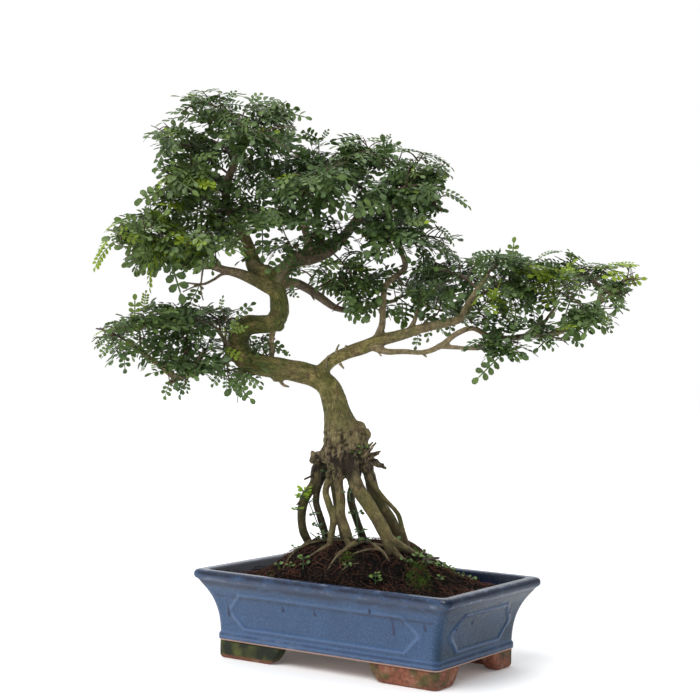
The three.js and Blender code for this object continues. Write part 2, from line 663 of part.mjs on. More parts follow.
function makeSeedling({ foot, tall }) {
  const stem = solidFrom(seedlingStem(foot, tall, 0));
  const top = stem.boundingBox().max[2];
  const parts = [stem];
  for (let i = 0; i < 3; i += 1) {
    const angle = i * 2.1 + foot[0];
    const leaf = new THREE.OctahedronGeometry(1);
    leaf.scale(5, 3.4, 0.9);
    leaf.rotateY(-0.25);
    leaf.translate(4.3, 0, 0);
    leaf.rotateZ(angle);
    leaf.translate(foot[0] + 2, foot[1], top - 0.9);
    parts.push(solidFrom(leaf));
  }
  return joined(parts);
}

// Putting the object together

const tree = new THREE.Group();
tree.rotation.z = TREE_TURN;

const woodParts = [solidFrom(barGeometry(TRUNK, TRUNK_SIDES, 23))];
for (const knots of Object.values(BOUGHS)) {
  woodParts.push(solidFrom(barGeometry(knots, knots[0][3] > 6 ? 6 : 5, knots.length - 1)));
}
for (const knots of ROOTS) {
  woodParts.push(solidFrom(barGeometry(knots, ROOT_SIDES, knots.length - 1)));
}
for (const knots of SNAGS) {
  woodParts.push(solidFrom(barGeometry(knots, 4, 2)));
}
for (const [x, y, z, radius] of KNOTS) {
  const knot = new THREE.IcosahedronGeometry(radius);
  knot.translate(x, y, z);
  woodParts.push(solidFrom(knot));
}
const withBox = (solid) => ({ solid, box: solid.boundingBox() });
const wood = woodParts.map(withBox);
const placed = [];
const used = [];
const draw = drawFrom(2417);
for (const pad of PADS) {
  for (let number = 0; number < pad.ends.length; number += 1) {
    const spray = makeShoot(pad, number, wood, [...placed, ...wood], used, draw);
    if (spray) {
      placed.push(withBox(spray));
      tree.add(meshOf(`spray_${pad.name}_${number + 1}`, geometryFrom(spray), LEAF_GREEN, 0.55));
    }
  }
}
tree.add(meshOf('tree', geometryFrom(joined(woodParts)), BARK, 0.85));

const cutters = ROOTS.map((knots) => {
  const cutter = barGeometry(knots, ROOT_SIDES, knots.length - 1, CLEARANCE);
  cutter.rotateZ(TREE_TURN);
  return solidFrom(cutter);
});
for (const seedling of SEEDLINGS) {
  tree.add(meshOf(seedling.name, geometryFrom(makeSeedling(seedling)), SEEDLING_GREEN, 0.6));
  const cutter = seedlingStem(seedling.foot, seedling.tall, CLEARANCE);
  cutter.rotateZ(TREE_TURN);
  cutters.push(solidFrom(cutter));
}
const SCREENS = [['drain_screen_left', -1], ['drain_screen_right', 1]];
for (const [, side] of SCREENS) {
  const depth = SCREEN_THICKNESS + 2 * SEAT_GAP;
  const room = new THREE.BoxGeometry(SCREEN_SIDE + 1, SCREEN_SIDE + 1, 2 * depth);
  room.translate((side * DRAIN_SPACING) / 2, 0, FLOOR);
  cutters.push(solidFrom(room));
}

const bonsai = new THREE.Group();
bonsai.add(tree);
bonsai.add(meshOf('pot', geometryFrom(makePot()), GLAZE, 0.3));
bonsai.add(meshOf('soil', geometryFrom(makeSoil(cutters)), SOIL_BROWN, 0.95));
for (const [name, side] of SCREENS) {
  bonsai.add(meshOf(name, geometryFrom(makeScreen(side)), SCREEN_BLACK, 0.6));
}

// The origin lies under the middle of the whole object, on the surface it stands on
const extent = new THREE.Box3().setFromObject(bonsai, true);
const middle = extent.getCenter(new THREE.Vector3());
bonsai.position.set(-middle.x, -middle.y, 0);

export default bonsai;
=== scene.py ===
import json
import math
from itertools import combinations

import bpy
import numpy as np
from mathutils import Matrix, Vector, noise
from mathutils.kdtree import KDTree

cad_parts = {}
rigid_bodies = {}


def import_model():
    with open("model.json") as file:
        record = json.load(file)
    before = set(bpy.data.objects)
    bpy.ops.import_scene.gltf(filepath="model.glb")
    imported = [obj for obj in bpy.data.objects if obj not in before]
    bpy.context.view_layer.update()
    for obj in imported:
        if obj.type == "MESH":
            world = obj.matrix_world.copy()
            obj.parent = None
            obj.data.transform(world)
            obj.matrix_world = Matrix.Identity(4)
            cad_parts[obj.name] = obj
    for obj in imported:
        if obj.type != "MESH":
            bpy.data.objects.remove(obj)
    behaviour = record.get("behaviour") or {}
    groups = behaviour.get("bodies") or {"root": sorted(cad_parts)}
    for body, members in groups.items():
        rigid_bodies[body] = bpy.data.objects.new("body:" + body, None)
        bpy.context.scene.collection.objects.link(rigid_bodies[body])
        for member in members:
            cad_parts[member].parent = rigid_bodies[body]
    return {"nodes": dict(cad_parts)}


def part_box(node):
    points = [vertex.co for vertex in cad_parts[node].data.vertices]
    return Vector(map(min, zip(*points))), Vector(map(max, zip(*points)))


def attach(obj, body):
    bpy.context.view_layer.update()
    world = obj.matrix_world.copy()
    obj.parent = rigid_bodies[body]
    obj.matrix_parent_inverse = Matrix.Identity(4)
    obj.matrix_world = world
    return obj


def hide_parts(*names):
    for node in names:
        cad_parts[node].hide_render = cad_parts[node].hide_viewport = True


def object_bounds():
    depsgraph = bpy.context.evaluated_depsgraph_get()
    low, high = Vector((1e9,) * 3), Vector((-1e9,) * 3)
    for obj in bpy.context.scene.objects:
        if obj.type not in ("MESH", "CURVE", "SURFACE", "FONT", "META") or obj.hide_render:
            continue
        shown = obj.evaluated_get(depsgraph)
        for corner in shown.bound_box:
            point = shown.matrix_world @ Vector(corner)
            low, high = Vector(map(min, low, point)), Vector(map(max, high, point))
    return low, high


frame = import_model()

solid_low, solid_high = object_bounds()

# Pot. One piece of stoneware, pressed in a mould and fired with a blue glaze: the wall flares out to a
# rounded lip, each side has a panel framed by a raised bead, and the four corner feet are left unglazed.
MM = 0.001
POT_LENGTH, POT_WIDTH = 300, 186
CORNER_RADIUS = 7
FLARE_ALONG_LENGTH, FLARE_ALONG_WIDTH = 1.07, 0.87
OUTER_WALL = [
    (20.2, 18), (19.3, 19.5), (19.3, 24.5), (20.5, 26.5), (20.0, 36), (18.6, 46), (15.6, 57), (11, 67),
    (5.4, 75.5), (3.2, 78.8),
]
LIP = [
    (0.9, 80.6), (0.1, 82.5), (0, 84.5), (0.6, 87), (2.2, 88.6), (4.5, 89), (9, 89), (11.4, 88.3),
    (12.7, 86.5),
]
INNER_WALL = [(13, 80), (20, 63), (27, 42), (32, 26)]
FOOT_BAND_KNOTS, CLAY_BELOW = 4, 18.9
PANEL_LOW, PANEL_HIGH = 32, 67
PANEL_MARGIN, PANEL_CHAMFER, PANEL_INSET = 22, 15, 18
BEAD_HALF_WIDTH, BEAD_RISE, PANEL_RISE = 1.8, 1.6, 0.35
FOOT_HEIGHT, FOOT_THICKNESS, FOOT_SLANT = 18, 15, 12
FOOT_ALONG_LENGTH, FOOT_ALONG_WIDTH = 76, 42
FOOT_INSET_ENDS, FOOT_INSET_SIDES = 20.6, 21.6
# How high each level of a foot is, and how far its lower edge is eased there.
FOOT_LEVELS = [(0, 3.0), (0.5, 1.7), (1.4, 0.7), (2.8, 0.15), (6, 0), (9, 0), (12, 0), (15, 0), (19, 0)]
# Runs of pooled glaze below the front rim: how far along from the middle, top and bottom.
FRONT_RUNS = [
    (-113, 61, 42), (-44, 62, 55), (-6, 64, 55), (60, 72, 66), (83, 66, 47), (94, 66, 61), (118, 68, 55),
]
RUN_SWELLS = (0.7, 1.1, 1.4, 2.0, 1.1)
DENIM_GLAZE = (0.024, 0.068, 0.154)
LIGHT_GLAZE = (0.085, 0.150, 0.300)
DEEP_GLAZE = (0.006, 0.011, 0.030)
SHADED_END_GLAZE = (0.010, 0.029, 0.054)
POOL_AND_SHADE_GLAZE = (0.011, 0.017, 0.034)
THIN_GLAZE = (0.036, 0.044, 0.080)
PALE_GLAZE_HIGHLIGHT = (0.170, 0.210, 0.300)
SHADED_INNER_GLAZE = (0.007, 0.012, 0.030)
RUN_DARK, RUN_LIGHT = (0.014, 0.026, 0.075), (0.026, 0.040, 0.095)
FIRED_CLAY = (0.250, 0.088, 0.050)
PALE_CLAY = (0.360, 0.230, 0.150)
CLEAN_CLAY = (0.420, 0.270, 0.220)
POT_ALGAE, YELLOW_ALGAE = (0.014, 0.018, 0.010), (0.080, 0.085, 0.020)

pot_low, pot_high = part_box("pot")
pot_middle = np.array([(pot_low.x + pot_high.x) / 2, (pot_low.y + pot_high.y) / 2, 0])


def give(tree, socket, value):
    """Links a socket to what its value comes from, or sets the value on it."""
    if isinstance(value, bpy.types.NodeSocket):
        tree.links.new(value, socket)
    else:
        socket.default_value = value


def node(tree, kind, inputs=None, **settings):
    made = tree.nodes.new(kind)
    for name, value in settings.items():
        setattr(made, name, value)
    for name, value in (inputs or {}).items():
        give(tree, made.inputs[name], value)
    return made


def finish_of(name, roughness, specular=0.5):
    """A new finish: its material, its nodes, its surface, and the place on the object."""
    material = bpy.data.materials.new(name)
    material.use_nodes = True
    tree = material.node_tree
    surface = tree.nodes["Principled BSDF"]
    surface.inputs["Roughness"].default_value = roughness
    surface.inputs["Specular IOR Level"].default_value = specular
    return material, tree, surface, node(tree, "ShaderNodeTexCoord").outputs["Object"]


def mixed(tree, share, first, second):
    made = node(tree, "ShaderNodeMix", data_type="RGBA")
    for index, value in ((0, share), (6, first), (7, second)):
        give(tree, made.inputs[index], (*value, 1.0) if isinstance(value, tuple) else value)
    return made.outputs[2]


def layered(tree, colour, *layers):
    """Lays tones over a colour one by one, each by its share."""
    for share, tone in layers:
        colour = mixed(tree, share, colour, tone)
    return colour


def combined(tree, operation, first, second, clamp=False):
    made = node(tree, "ShaderNodeMath", {0: first, 1: second}, operation=operation, use_clamp=clamp)
    return made.outputs[0]


def times(tree, first, second):
    return combined(tree, "MULTIPLY", first, second)


def ramp(tree, value, low, high, least=0.0, most=1.0):
    limits = {"From Min": low, "From Max": high, "To Min": least, "To Max": most}
    return node(tree, "ShaderNodeMapRange", {"Value": value, **limits}).outputs[0]


def speckle(tree, where, scale, detail=4, low=0.4, high=0.6, stretch=(1, 1, 1)):
    spread = node(tree, "ShaderNodeMapping", {"Vector": where, "Scale": stretch})
    grain = node(tree, "ShaderNodeTexNoise", {"Vector": spread.outputs[0], "Scale": scale, "Detail": detail})
    return ramp(tree, grain.outputs[0], low, high)


def painted(tree, name, output="Fac"):
    return node(tree, "ShaderNodeAttribute", attribute_name=name).outputs[output]


def covered(tree, surface, colour, relief, distance, strength=1.0):
    """Gives a surface its colour and the relief of its skin."""
    bump = node(tree, "ShaderNodeBump", {"Height": relief, "Distance": distance, "Strength": strength})
    tree.links.new(colour, surface.inputs["Base Color"])
    tree.links.new(bump.outputs[0], surface.inputs["Normal"])


def darker(colour, share):
    return tuple(c * share for c in colour)


def near(value, middle, reach):
    """1 at the middle, falling away to nothing past its reach."""
    return math.exp(-(((value - middle) / reach) ** 2))


def held(value, most=1.0):
    return min(most, max(0.0, value))


def keep_values(mesh, name, values, kind="FLOAT"):
    """Keeps a value at every point of a mesh, for its finish or for geometry nodes."""
    layer = mesh.attributes.new(name, kind, "POINT")
    values = np.asarray(values, np.int32 if kind == "INT" else np.float32)
    layer.data.foreach_set("vector" if kind == "FLOAT_VECTOR" else "value", values.reshape(-1))


def shown(name, mesh):
    mesh.name = name
    made = bpy.data.objects.new(name, mesh)
    bpy.context.scene.collection.objects.link(made)
    return made


def piece_of(name, points, faces, finishes, smooth=True, kinds=None, **values):
    """A mesh piece from points in metres, with a value for each point where a finish needs one."""
    mesh = bpy.data.meshes.new(name)
    mesh.from_pydata([tuple(p) for p in points], [], [tuple(f) for f in faces])
    for finish in finishes:
        mesh.materials.append(finish)
    if kinds is not None:
        mesh.polygons.foreach_set("material_index", np.asarray(kinds, np.int32))
    mesh.polygons.foreach_set("use_smooth", np.full(len(mesh.polygons), smooth))
    for key, carried in values.items():
        keep_values(mesh, key, carried)
    mesh.update()
    return shown(name, mesh)


def nodes_for(name, source, **inputs):
    """A tree of geometry nodes with named inputs, and the sockets that give them."""
    tree = bpy.data.node_groups.new(name, "GeometryNodeTree")
    for label, (kind, value) in {source: ("Geometry", None), **inputs}.items():
        socket = tree.interface.new_socket(label.replace("_", " "), in_out="INPUT",
                                           socket_type="NodeSocket" + kind)
        if value is not None:
            socket.default_value = value
    return tree, node(tree, "NodeGroupInput").outputs


def carried_value(tree, name, kind="FLOAT"):
    return node(tree, "GeometryNodeInputNamedAttribute", {"Name": name}, data_type=kind).outputs[0]


def ended(tree, name, geometry, finish):
    """Ends a tree: every copy is made real and takes the finish."""
    whole = node(tree, "GeometryNodeRealizeInstances", {"Geometry": geometry})
    dressed = node(tree, "GeometryNodeSetMaterial", {"Geometry": whole.outputs[0], "Material": finish})
    tree.interface.new_socket(name, in_out="OUTPUT", socket_type="NodeSocketGeometry")
    node(tree, "NodeGroupOutput", {name: dressed.outputs[0]})
    return tree


def stems_from_lines():
    """Geometry nodes: round stems along the edges of a mesh, as thick as its thickness says."""
    tree, given = nodes_for("stems from lines", "Lines", Spacing=("Float", 0.002), Sides=("Int", 8),
                            Finish=("Material", None))
    line = node(tree, "GeometryNodeMeshToCurve", {"Mesh": given["Lines"]})
    soft = node(tree, "GeometryNodeCurveSplineType", {"Curve": line.outputs[0]}, spline_type="CATMULL_ROM")
    even = node(tree, "GeometryNodeResampleCurve", {"Curve": soft.outputs[0], "Length": given["Spacing"]},
                mode="LENGTH")
    ring = node(tree, "GeometryNodeCurvePrimitiveCircle", {"Resolution": given["Sides"], "Radius": 1.0})
    tube = node(tree, "GeometryNodeCurveToMesh", {
        "Curve": even.outputs[0], "Profile Curve": ring.outputs[0], "Scale": carried_value(tree, "thickness"),
        "Fill Caps": True})
    return ended(tree, "Stems", tube.outputs[0], given["Finish"])


def lines_object(name, lines):
    """A mesh of bare edges through each line's knots, in metres, with the radius kept at every point."""
    points, edges, radii = [], [], []
    for line in lines:
        start = len(points)
        points += [tuple(k[:3]) for k in line]
        radii += [k[3] for k in line]
        edges += [(start + i, start + i + 1) for i in range(len(line) - 1)]
    mesh = bpy.data.meshes.new(name)
    mesh.from_pydata(points, edges, [])
    keep_values(mesh, "thickness", radii)
    return shown(name, mesh)


def evaluated_mesh(source):
    bpy.context.view_layer.update()
    graph = bpy.context.evaluated_depsgraph_get()
    return bpy.data.meshes.new_from_object(source.evaluated_get(graph))


def made_real(source, group, **inputs):
    """The plain mesh that a geometry nodes group makes of an object, which is then cleared away."""
    modifier = source.modifiers.new("made", "NODES")
    modifier.node_group = group
    sockets = {item.name: item for item in group.interface.items_tree if item.in_out == "INPUT"}
    for name, value in inputs.items():
        modifier[sockets[name.replace("_", " ")].identifier] = value
    mesh = evaluated_mesh(source)
    source.modifiers.remove(modifier)
    bpy.data.objects.remove(source)
    return mesh


def joined_pieces(name, pieces):
    """One piece of several, with their finishes and the values kept at their points."""
    with bpy.context.temp_override(active_object=pieces[0], object=pieces[0], selected_objects=pieces,
                                   selected_editable_objects=pieces):
        bpy.ops.object.join()
    pieces[0].name = name
    pieces[0].data.name = name
    return pieces[0]


def in_pot(points):
    return np.asarray(points, float) * MM + pot_middle


def smooth_profile(knots, step):
    """Points every step or so along a smooth line through the knots."""
    knots = [np.array(k, float) for k in knots]
    line = [knots[0]]
    for i in range(len(knots) - 1):
        a, b = knots[max(i - 1, 0)], knots[i]
        c, d = knots[i + 1], knots[min(i + 2, len(knots) - 1)]
        count = max(1, round(np.linalg.norm(c - b) / step))
        for k in range(1, count + 1):
            t = k / count
            line.append(0.5 * (2 * b + (c - a) * t + (2 * a - 5 * b + 4 * c - d) * t * t
                               + (3 * b - a - 3 * c + d) * t ** 3))
    return line


def side_stations(half, fine_from, fine_to, fine, coarse):
    """Places along one side of the pot: close together where the panel ends, wide apart elsewhere."""
    places, at = [], -half
    while at < half:
        places.append(at)
        at += fine if fine_from < abs(at) < fine_to else coarse
    return places[1:]


def wall_spot(turn, length, width, along):
    """A place on one of the four sides, which are the right, the back, the left and the front in turn."""
    return [(length, along), (-along, width), (-length, -along), (along, -width)][turn]


def rim_ring(inset, sides):
    """One level loop round the pot, counter-clockwise from the front right corner: spot, way, side, along."""
    half_length = POT_LENGTH / 2 - inset * FLARE_ALONG_LENGTH
    half_width = POT_WIDTH / 2 - inset * FLARE_ALONG_WIDTH
    flat_length, flat_width = half_length - CORNER_RADIUS, half_width - CORNER_RADIUS
    long_side = [s / (POT_LENGTH / 2) * flat_length for s in sides[0]]
    short_side = [s / (POT_WIDTH / 2) * flat_width for s in sides[1]]
    ring = []
    for turn, corner in enumerate(((1, -1), (1, 1), (-1, 1), (-1, -1))):
        for sweep in np.linspace(-90, 0, 7):
            angle = math.radians(sweep + 90 * turn)
            way = (math.cos(angle), math.sin(angle))
            spot = [corner[i] * (flat_length, flat_width)[i] + way[i] * CORNER_RADIUS for i in (0, 1)]
            ring.append((spot, way, -1, 0))
        way = [(1, 0), (0, 1), (-1, 0), (0, -1)][turn]
        for s in (long_side if turn % 2 else short_side):
            ring.append((wall_spot(turn, half_length, half_width, s), way, turn, s))
    return ring


def ring_faces(rings, count):
    """Faces between rings of points that lie one on the other, closed below and above."""
    faces = []
    for level in range(rings - 1):
        for i in range(count):
            a, b = level * count + i, level * count + (i + 1) % count
            faces.append((a, b, b + count, a + count))
    return faces + [tuple(reversed(range(count))), tuple(range((rings - 1) * count, rings * count))]


def panel_rise(side, along, height):
    """How far the bead round a panel, and the panel in it, stand out of the wall at a place."""
    if side < 0:
        return 0.0
    wall = POT_WIDTH / 2 - PANEL_INSET * FLARE_ALONG_WIDTH
    if side % 2:
        wall = POT_LENGTH / 2 - PANEL_INSET * FLARE_ALONG_LENGTH
    half, middle = wall - PANEL_MARGIN, (PANEL_LOW + PANEL_HIGH) / 2
    tall = (PANEL_HIGH - PANEL_LOW) / 2
    u, v = abs(along) - half, abs(height - middle) - tall
    distance = max(u, v, (u + v + PANEL_CHAMFER) / math.sqrt(2))
    return BEAD_RISE * near(distance, 0, BEAD_HALF_WIDTH) + PANEL_RISE * held(-distance / 3)


def outer_profile():
    """The wall from its foot band to its lip, with the points closer together above the band."""
    band = smooth_profile(OUTER_WALL[:FOOT_BAND_KNOTS], 2)
    return band + smooth_profile(OUTER_WALL[FOOT_BAND_KNOTS - 1:], 1.15)[1:]


def make_pot():
    sides = (side_stations(150, 96, 132, 1.5, 5), side_stations(93, 42, 74, 1.5, 4.5))
    outer, lip = outer_profile(), smooth_profile(LIP, 1.2)
    profile = outer + lip + smooth_profile(INNER_WALL, 6)
    points, values = [], {"edge": [], "pooled_and_shaded": [], "inner": [], "right_end_shade": [], "crest_highlight": []}
    for level, (inset, height) in enumerate(profile):
        outside = level < len(outer)
        ring = rim_ring(inset, sides)
        # The glaze runs thin over the lip's lower edge and at the foot of the wall; along the lip's top outer
        # edge the pale tone is a painted highlight.
        on_lip = near(height, 81, 1.3) + near(height, 88.8, 0.7)
        on_base = near(height, 19.6, 1.0) + 0.5 * near(height, 25, 1.0)
        # A painted highlight along the foot band.
        on_foot_band = 0.45 * near(height, 26.5, 0.9) + 0.4 * near(height, 21.8, 1.0)
        # Darker glaze on the lip's outer face, and a painted shadow band just under the lip.
        below_rim = 0.8 * near(height, 76.5, 3.2) + near(height, 86, 3.4)
        for (x, y), way, side, along in ring:
            rise = panel_rise(side, along, height) if outside else 0.0
            out = rise + 0.45 * noise.noise(Vector((x * 0.02, y * 0.02, height * 0.03)))
            points.append((x + way[0] * out, y + way[1] * out, height))
            # A painted highlight on the bead crests, stronger on the lower bead, over glaze that runs thin
            # there.
            on_bead = max(0, rise / BEAD_RISE) ** 2 * (0.6 if height < PANEL_HIGH - 12 else 0.35)
            # A painted shadow under the upper bead of each panel, and a darker line on the foot band.
            under_bead = 0.7 * near(height, PANEL_HIGH - 3.2, 1.2) * (side >= 0)
            under_bead += 0.45 * near(height, 24, 0.8)
            values["edge"].append(held(on_lip + on_base))
            values["crest_highlight"].append(held(on_bead + on_foot_band) * outside)
            values["pooled_and_shaded"].append(held(below_rim + under_bead) * (level < len(outer) + 10))
            # Painted shade on the inside of the wall.
            values["inner"].append(level >= len(outer) + len(lip) - 3)
            # Painted shade on the right end face.
            values["right_end_shade"].append(held(way[0]))
    kinds = [int(height < CLAY_BELOW) for _, height in profile[:-1] for _ in ring]
    return points, ring_faces(len(profile), len(ring)), kinds + [1, 0], values


def unit(vector):
    return np.asarray(vector, float) / max(np.linalg.norm(vector), 1e-9)


def foot_shape(corner):
    """A corner foot, ring on ring upwards: an L whose two ends lean out and whose lower edges are eased."""
    outer = (POT_LENGTH / 2 - FOOT_INSET_ENDS * FLARE_ALONG_LENGTH,
             POT_WIDTH / 2 - FOOT_INSET_SIDES * FLARE_ALONG_WIDTH)
    points = []
    for height, ease in FOOT_LEVELS:
        lean = FOOT_SLANT * max(0, 1 - height / FOOT_HEIGHT) ** 1.5
        long, short = FOOT_ALONG_LENGTH - lean - ease * 1.3, FOOT_ALONG_WIDTH - lean - ease * 1.3
        thick = FOOT_THICKNESS - ease
        outline = [(ease, ease, 6), (long, ease, 2.5), (long, thick, 2.5), (thick, thick, 0),
                   (thick, short, 2.5), (ease, short, 2.5)]
        loop = []
        for i, (u, v, radius) in enumerate(outline):
            spot = np.array((u, v), float)
            before, after = (unit(np.array(outline[k][:2], float) - spot) for k in (i - 1, (i + 1) % 6))
            for t in (0.0, 0.25, 0.5, 0.75, 1.0):
                eased = spot + before * radius * (1 - t) ** 2 + after * radius * t ** 2
                loop.append(eased if radius else spot + (before * (1 - t) + after * t) * 0.2)
        points += [(corner[0] * (outer[0] - u), corner[1] * (outer[1] - v), height) for u, v in loop]
    faces = ring_faces(len(FOOT_LEVELS), len(loop))
    return points, faces if corner[0] * corner[1] > 0 else [tuple(reversed(f)) for f in faces]


def glaze_runs():
    """Lines down the wall where glaze ran and pooled, with its thickness."""
    draw = np.random.default_rng(12)
    runs = [(3, *run) for run in FRONT_RUNS]
    for side, half, count in ((0, 60, 3), (1, 115, 6), (2, 60, 3)):
        for _ in range(count):
            top = draw.uniform(60, 72)
            runs.append((side, draw.uniform(-half, half), top, top - draw.uniform(5, 18)))
    wall = np.array(outer_profile()[3:])
    lines = []
    for side, along, top, bottom in runs:
        line = []
        for t, radius in zip(np.linspace(0, 1, 5), RUN_SWELLS):
            height = top + (bottom - top) * t
            inset = np.interp(height, wall[:, 1], wall[:, 0])
            out = panel_rise(side, along, height) - 0.75
            length = POT_LENGTH / 2 - inset * FLARE_ALONG_LENGTH + out
            width = POT_WIDTH / 2 - inset * FLARE_ALONG_WIDTH + out
            line.append((*in_pot((*wall_spot(side, length, width, along), height)), radius * MM))
        lines.append(line)
    return lines


glaze, tree, surface, where = finish_of("blue_glaze", 0.2)
colour = mixed(tree, speckle(tree, where, 22, 4, 0.35, 0.65), DENIM_GLAZE, darker(DENIM_GLAZE, 0.82))
# Painted shade: the right end face takes a darker, greyer teal, and below it shines less.
right_end_shade = times(tree, painted(tree, "right_end_shade"), speckle(tree, where, 26, 4, 0.1, 0.55))
# Pooled glaze, with painted shadow under the lip and under the upper beads.
pooled_and_shaded = times(tree, painted(tree, "pooled_and_shaded"), speckle(tree, where, 55, 4, 0.3, 0.5, (1, 1, 2)))
# Thin glaze at the edges, with a painted highlight along the lip's top outer edge.
thin_glaze_and_highlight = times(tree, painted(tree, "edge"), speckle(tree, where, 150, 5, 0.35, 0.6))
colour = layered(
    tree, colour, (right_end_shade, SHADED_END_GLAZE),
    (times(tree, speckle(tree, where, 700, 3, 0.52, 0.74), 0.55), LIGHT_GLAZE),
    (times(tree, speckle(tree, where, 430, 3, 0.56, 0.74), 0.55), DEEP_GLAZE),
    (pooled_and_shaded, mixed(tree, speckle(tree, where, 110, 4, 0.45, 0.6), DEEP_GLAZE, POOL_AND_SHADE_GLAZE)),
    # painted highlight on the bead crests and the foot band
    (painted(tree, "crest_highlight"), LIGHT_GLAZE),
    (thin_glaze_and_highlight, mixed(tree, speckle(tree, where, 60, 3, 0.5, 0.72), THIN_GLAZE, PALE_GLAZE_HIGHLIGHT)),
    # painted shade inside the wall
    (painted(tree, "inner"), SHADED_INNER_GLAZE))
covered(tree, surface, colour, speckle(tree, where, 240, 4, 0, 1), 0.0005, 0.6)
tree.links.new(ramp(tree, painted(tree, "right_end_shade"), 0, 1, 0.5, 0.12), surface.inputs["Specular IOR Level"])

pooled_glaze, tree, surface, where = finish_of("pooled_glaze", 0.12)
colour = mixed(tree, speckle(tree, where, 300, 3, 0.4, 0.7), RUN_DARK, RUN_LIGHT)
covered(tree, surface, colour, speckle(tree, where, 300, 3, 0, 1), 0.0002, 0.4)

clay, tree, surface, where = finish_of("bare_clay", 0.75, 0.3)
axes = node(tree, "ShaderNodeSeparateXYZ", {"Vector": where}).outputs
patches = times(tree, speckle(tree, where, 48, 4, 0.45, 0.58), 0.85)
dirt = combined(tree, "ADD", patches, ramp(tree, axes["X"], 0.02, -0.06), clamp=True)
dirt = times(tree, dirt, ramp(tree, axes["Z"], 0.001, 0.005))
below_wall = ramp(tree, axes["Z"], 0.0184, 0.0174)
colour = mixed(tree, speckle(tree, where, 300, 5, 0.4, 0.7), FIRED_CLAY, darker(FIRED_CLAY, 0.5))
colour = mixed(tree, speckle(tree, where, 60, 4, 0.52, 0.74), colour, PALE_CLAY)
colour = mixed(tree, below_wall, CLEAN_CLAY, colour)
algae = mixed(tree, speckle(tree, where, 55, 4, 0.42, 0.66), POT_ALGAE, YELLOW_ALGAE)
colour = mixed(tree, times(tree, dirt, below_wall), colour, algae)
covered(tree, surface, colour, speckle(tree, where, 500, 4, 0, 1), 0.0006)

points, faces, kinds, values = make_pot()
for corner in ((1, -1), (1, 1), (-1, 1), (-1, -1)):
    foot_points, foot_faces = foot_shape(corner)
    faces += [tuple(i + len(points) for i in f) for f in foot_faces]
    points += foot_points
    kinds += [1] * len(foot_faces)
    for carried in values.values():
        carried += [0.0] * len(foot_points)
pot_body = piece_of("glazed_pot_body", in_pot(points), faces, [glaze, clay], True, kinds, **values)
stems = stems_from_lines()
runs = made_real(lines_object("glaze_runs", glaze_runs()), stems, Spacing=1.2 * MM, Sides=8,
                 Finish=pooled_glaze)
pot = joined_pieces("glazed_pot", [pot_body, shown("glaze_runs", runs)])
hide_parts("pot")
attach(pot, "root")


# Drain screens. Squares of black plastic net over the two holes in the pot's floor, held down by the soil.
NET_BLACK, NET_DUSTY = (0.012, 0.012, 0.013), (0.03, 0.028, 0.024)
net, tree, surface, where = finish_of("plastic_net", 0.5)
colour = mixed(tree, speckle(tree, where, 900, 2), NET_BLACK, NET_DUSTY)
covered(tree, surface, colour, speckle(tree, where, 900, 2, 0, 1), 0.0002)
for name in ("drain_screen_left", "drain_screen_right"):
    screen = frame["nodes"][name]
    screen.data.materials.clear()
    screen.data.materials.append(net)


# Soil. Dark potting mix that fills the pot and is heaped under the roots: grains and bits of bark,
# old root fibres, and moss where the heap stays damp.
TREE_TURN = math.radians(34)
SOIL_AT_WALL, MOUND_HEIGHT = 77, 42
MOUND_CENTRE, MOUND_REACH = (-7, 2), (88, 74)
# How far in from the rim, and how high, the soil is inside the wall, and how far in its top edge is.
SOIL_SIDES, SOIL_EDGE = [(32.3, 26.6), (27.4, 42), (20.4, 63), (15.6, 74)], 14.3
CRUMB_DENSITY, FIBRE_DENSITY, MOSS_DENSITY = 7.0e4, 3.0e4, 4.2e5
WET_SOIL = (0.0028, 0.0022, 0.0020)
DRY_SOIL = (0.010, 0.0066, 0.0052)
CRUMB_BROWN = (0.060, 0.030, 0.018)
MOSS = (0.095, 0.150, 0.020)
DARK_MOSS = (0.012, 0.024, 0.006)
FIBRE, OLD_FIBRE = (0.105, 0.036, 0.020), (0.030, 0.018, 0.010)
across_way = (math.cos(TREE_TURN), math.sin(TREE_TURN))


def to_view(x, y):
    """From the pot's own axes to right and away as seen from the tree's best side."""
    return x * across_way[0] + y * across_way[1], y * across_way[0] - x * across_way[1]


def from_view(right, away):
    return right * across_way[0] - away * across_way[1], right * across_way[1] + away * across_way[0]


def soil_height(x, y):
    right, away = to_view(x, y)
    across = (right - MOUND_CENTRE[0]) / MOUND_REACH[0]
    back = (away - MOUND_CENTRE[1]) / MOUND_REACH[1]
    heap = near(across ** 2 + back ** 2, 0, 1)
    return SOIL_AT_WALL + MOUND_HEIGHT * heap + math.sin(x * 0.09) * 0.8 + math.cos(y * 0.11) * 0.8


def lumpy_soil(x, y):
    spot = Vector((x * 0.05, y * 0.05, 0.3))
    lumps = 2.4 * noise.noise(spot) + 2.0 * noise.noise(spot * 3.1) + 0.9 * noise.noise(spot * 8)
    return soil_height(x, y) + lumps


def moss_here(x, y):
    right, away = to_view(x, y)
    patch = noise.noise(Vector((x * 0.04, y * 0.04, 7.0)))
    on_right = math.exp(-(((right - 52) / 18) ** 2 + ((away + 58) / 22) ** 2))
    on_ridge = near(away + 4, (right - 60) * 0.55, 13) if 46 < right < 128 else 0.0
    by_roots = 0.12 * near(math.hypot(right + 20, away + 34), 0, 34)
    return held(patch * 1.1 - 0.4 + on_right * 1.1 + on_ridge + by_roots)


def bare_here(x, y, moss):
    """How thickly crumbs and fibres lie: most along the rim and right of the middle, few on the damp top."""
    right, away = to_view(x, y)
    damp = near(math.hypot(right + 22, away + 36), 0, 30)
    return (1.0 - 0.75 * damp) * (1.0 - 0.7 * moss)


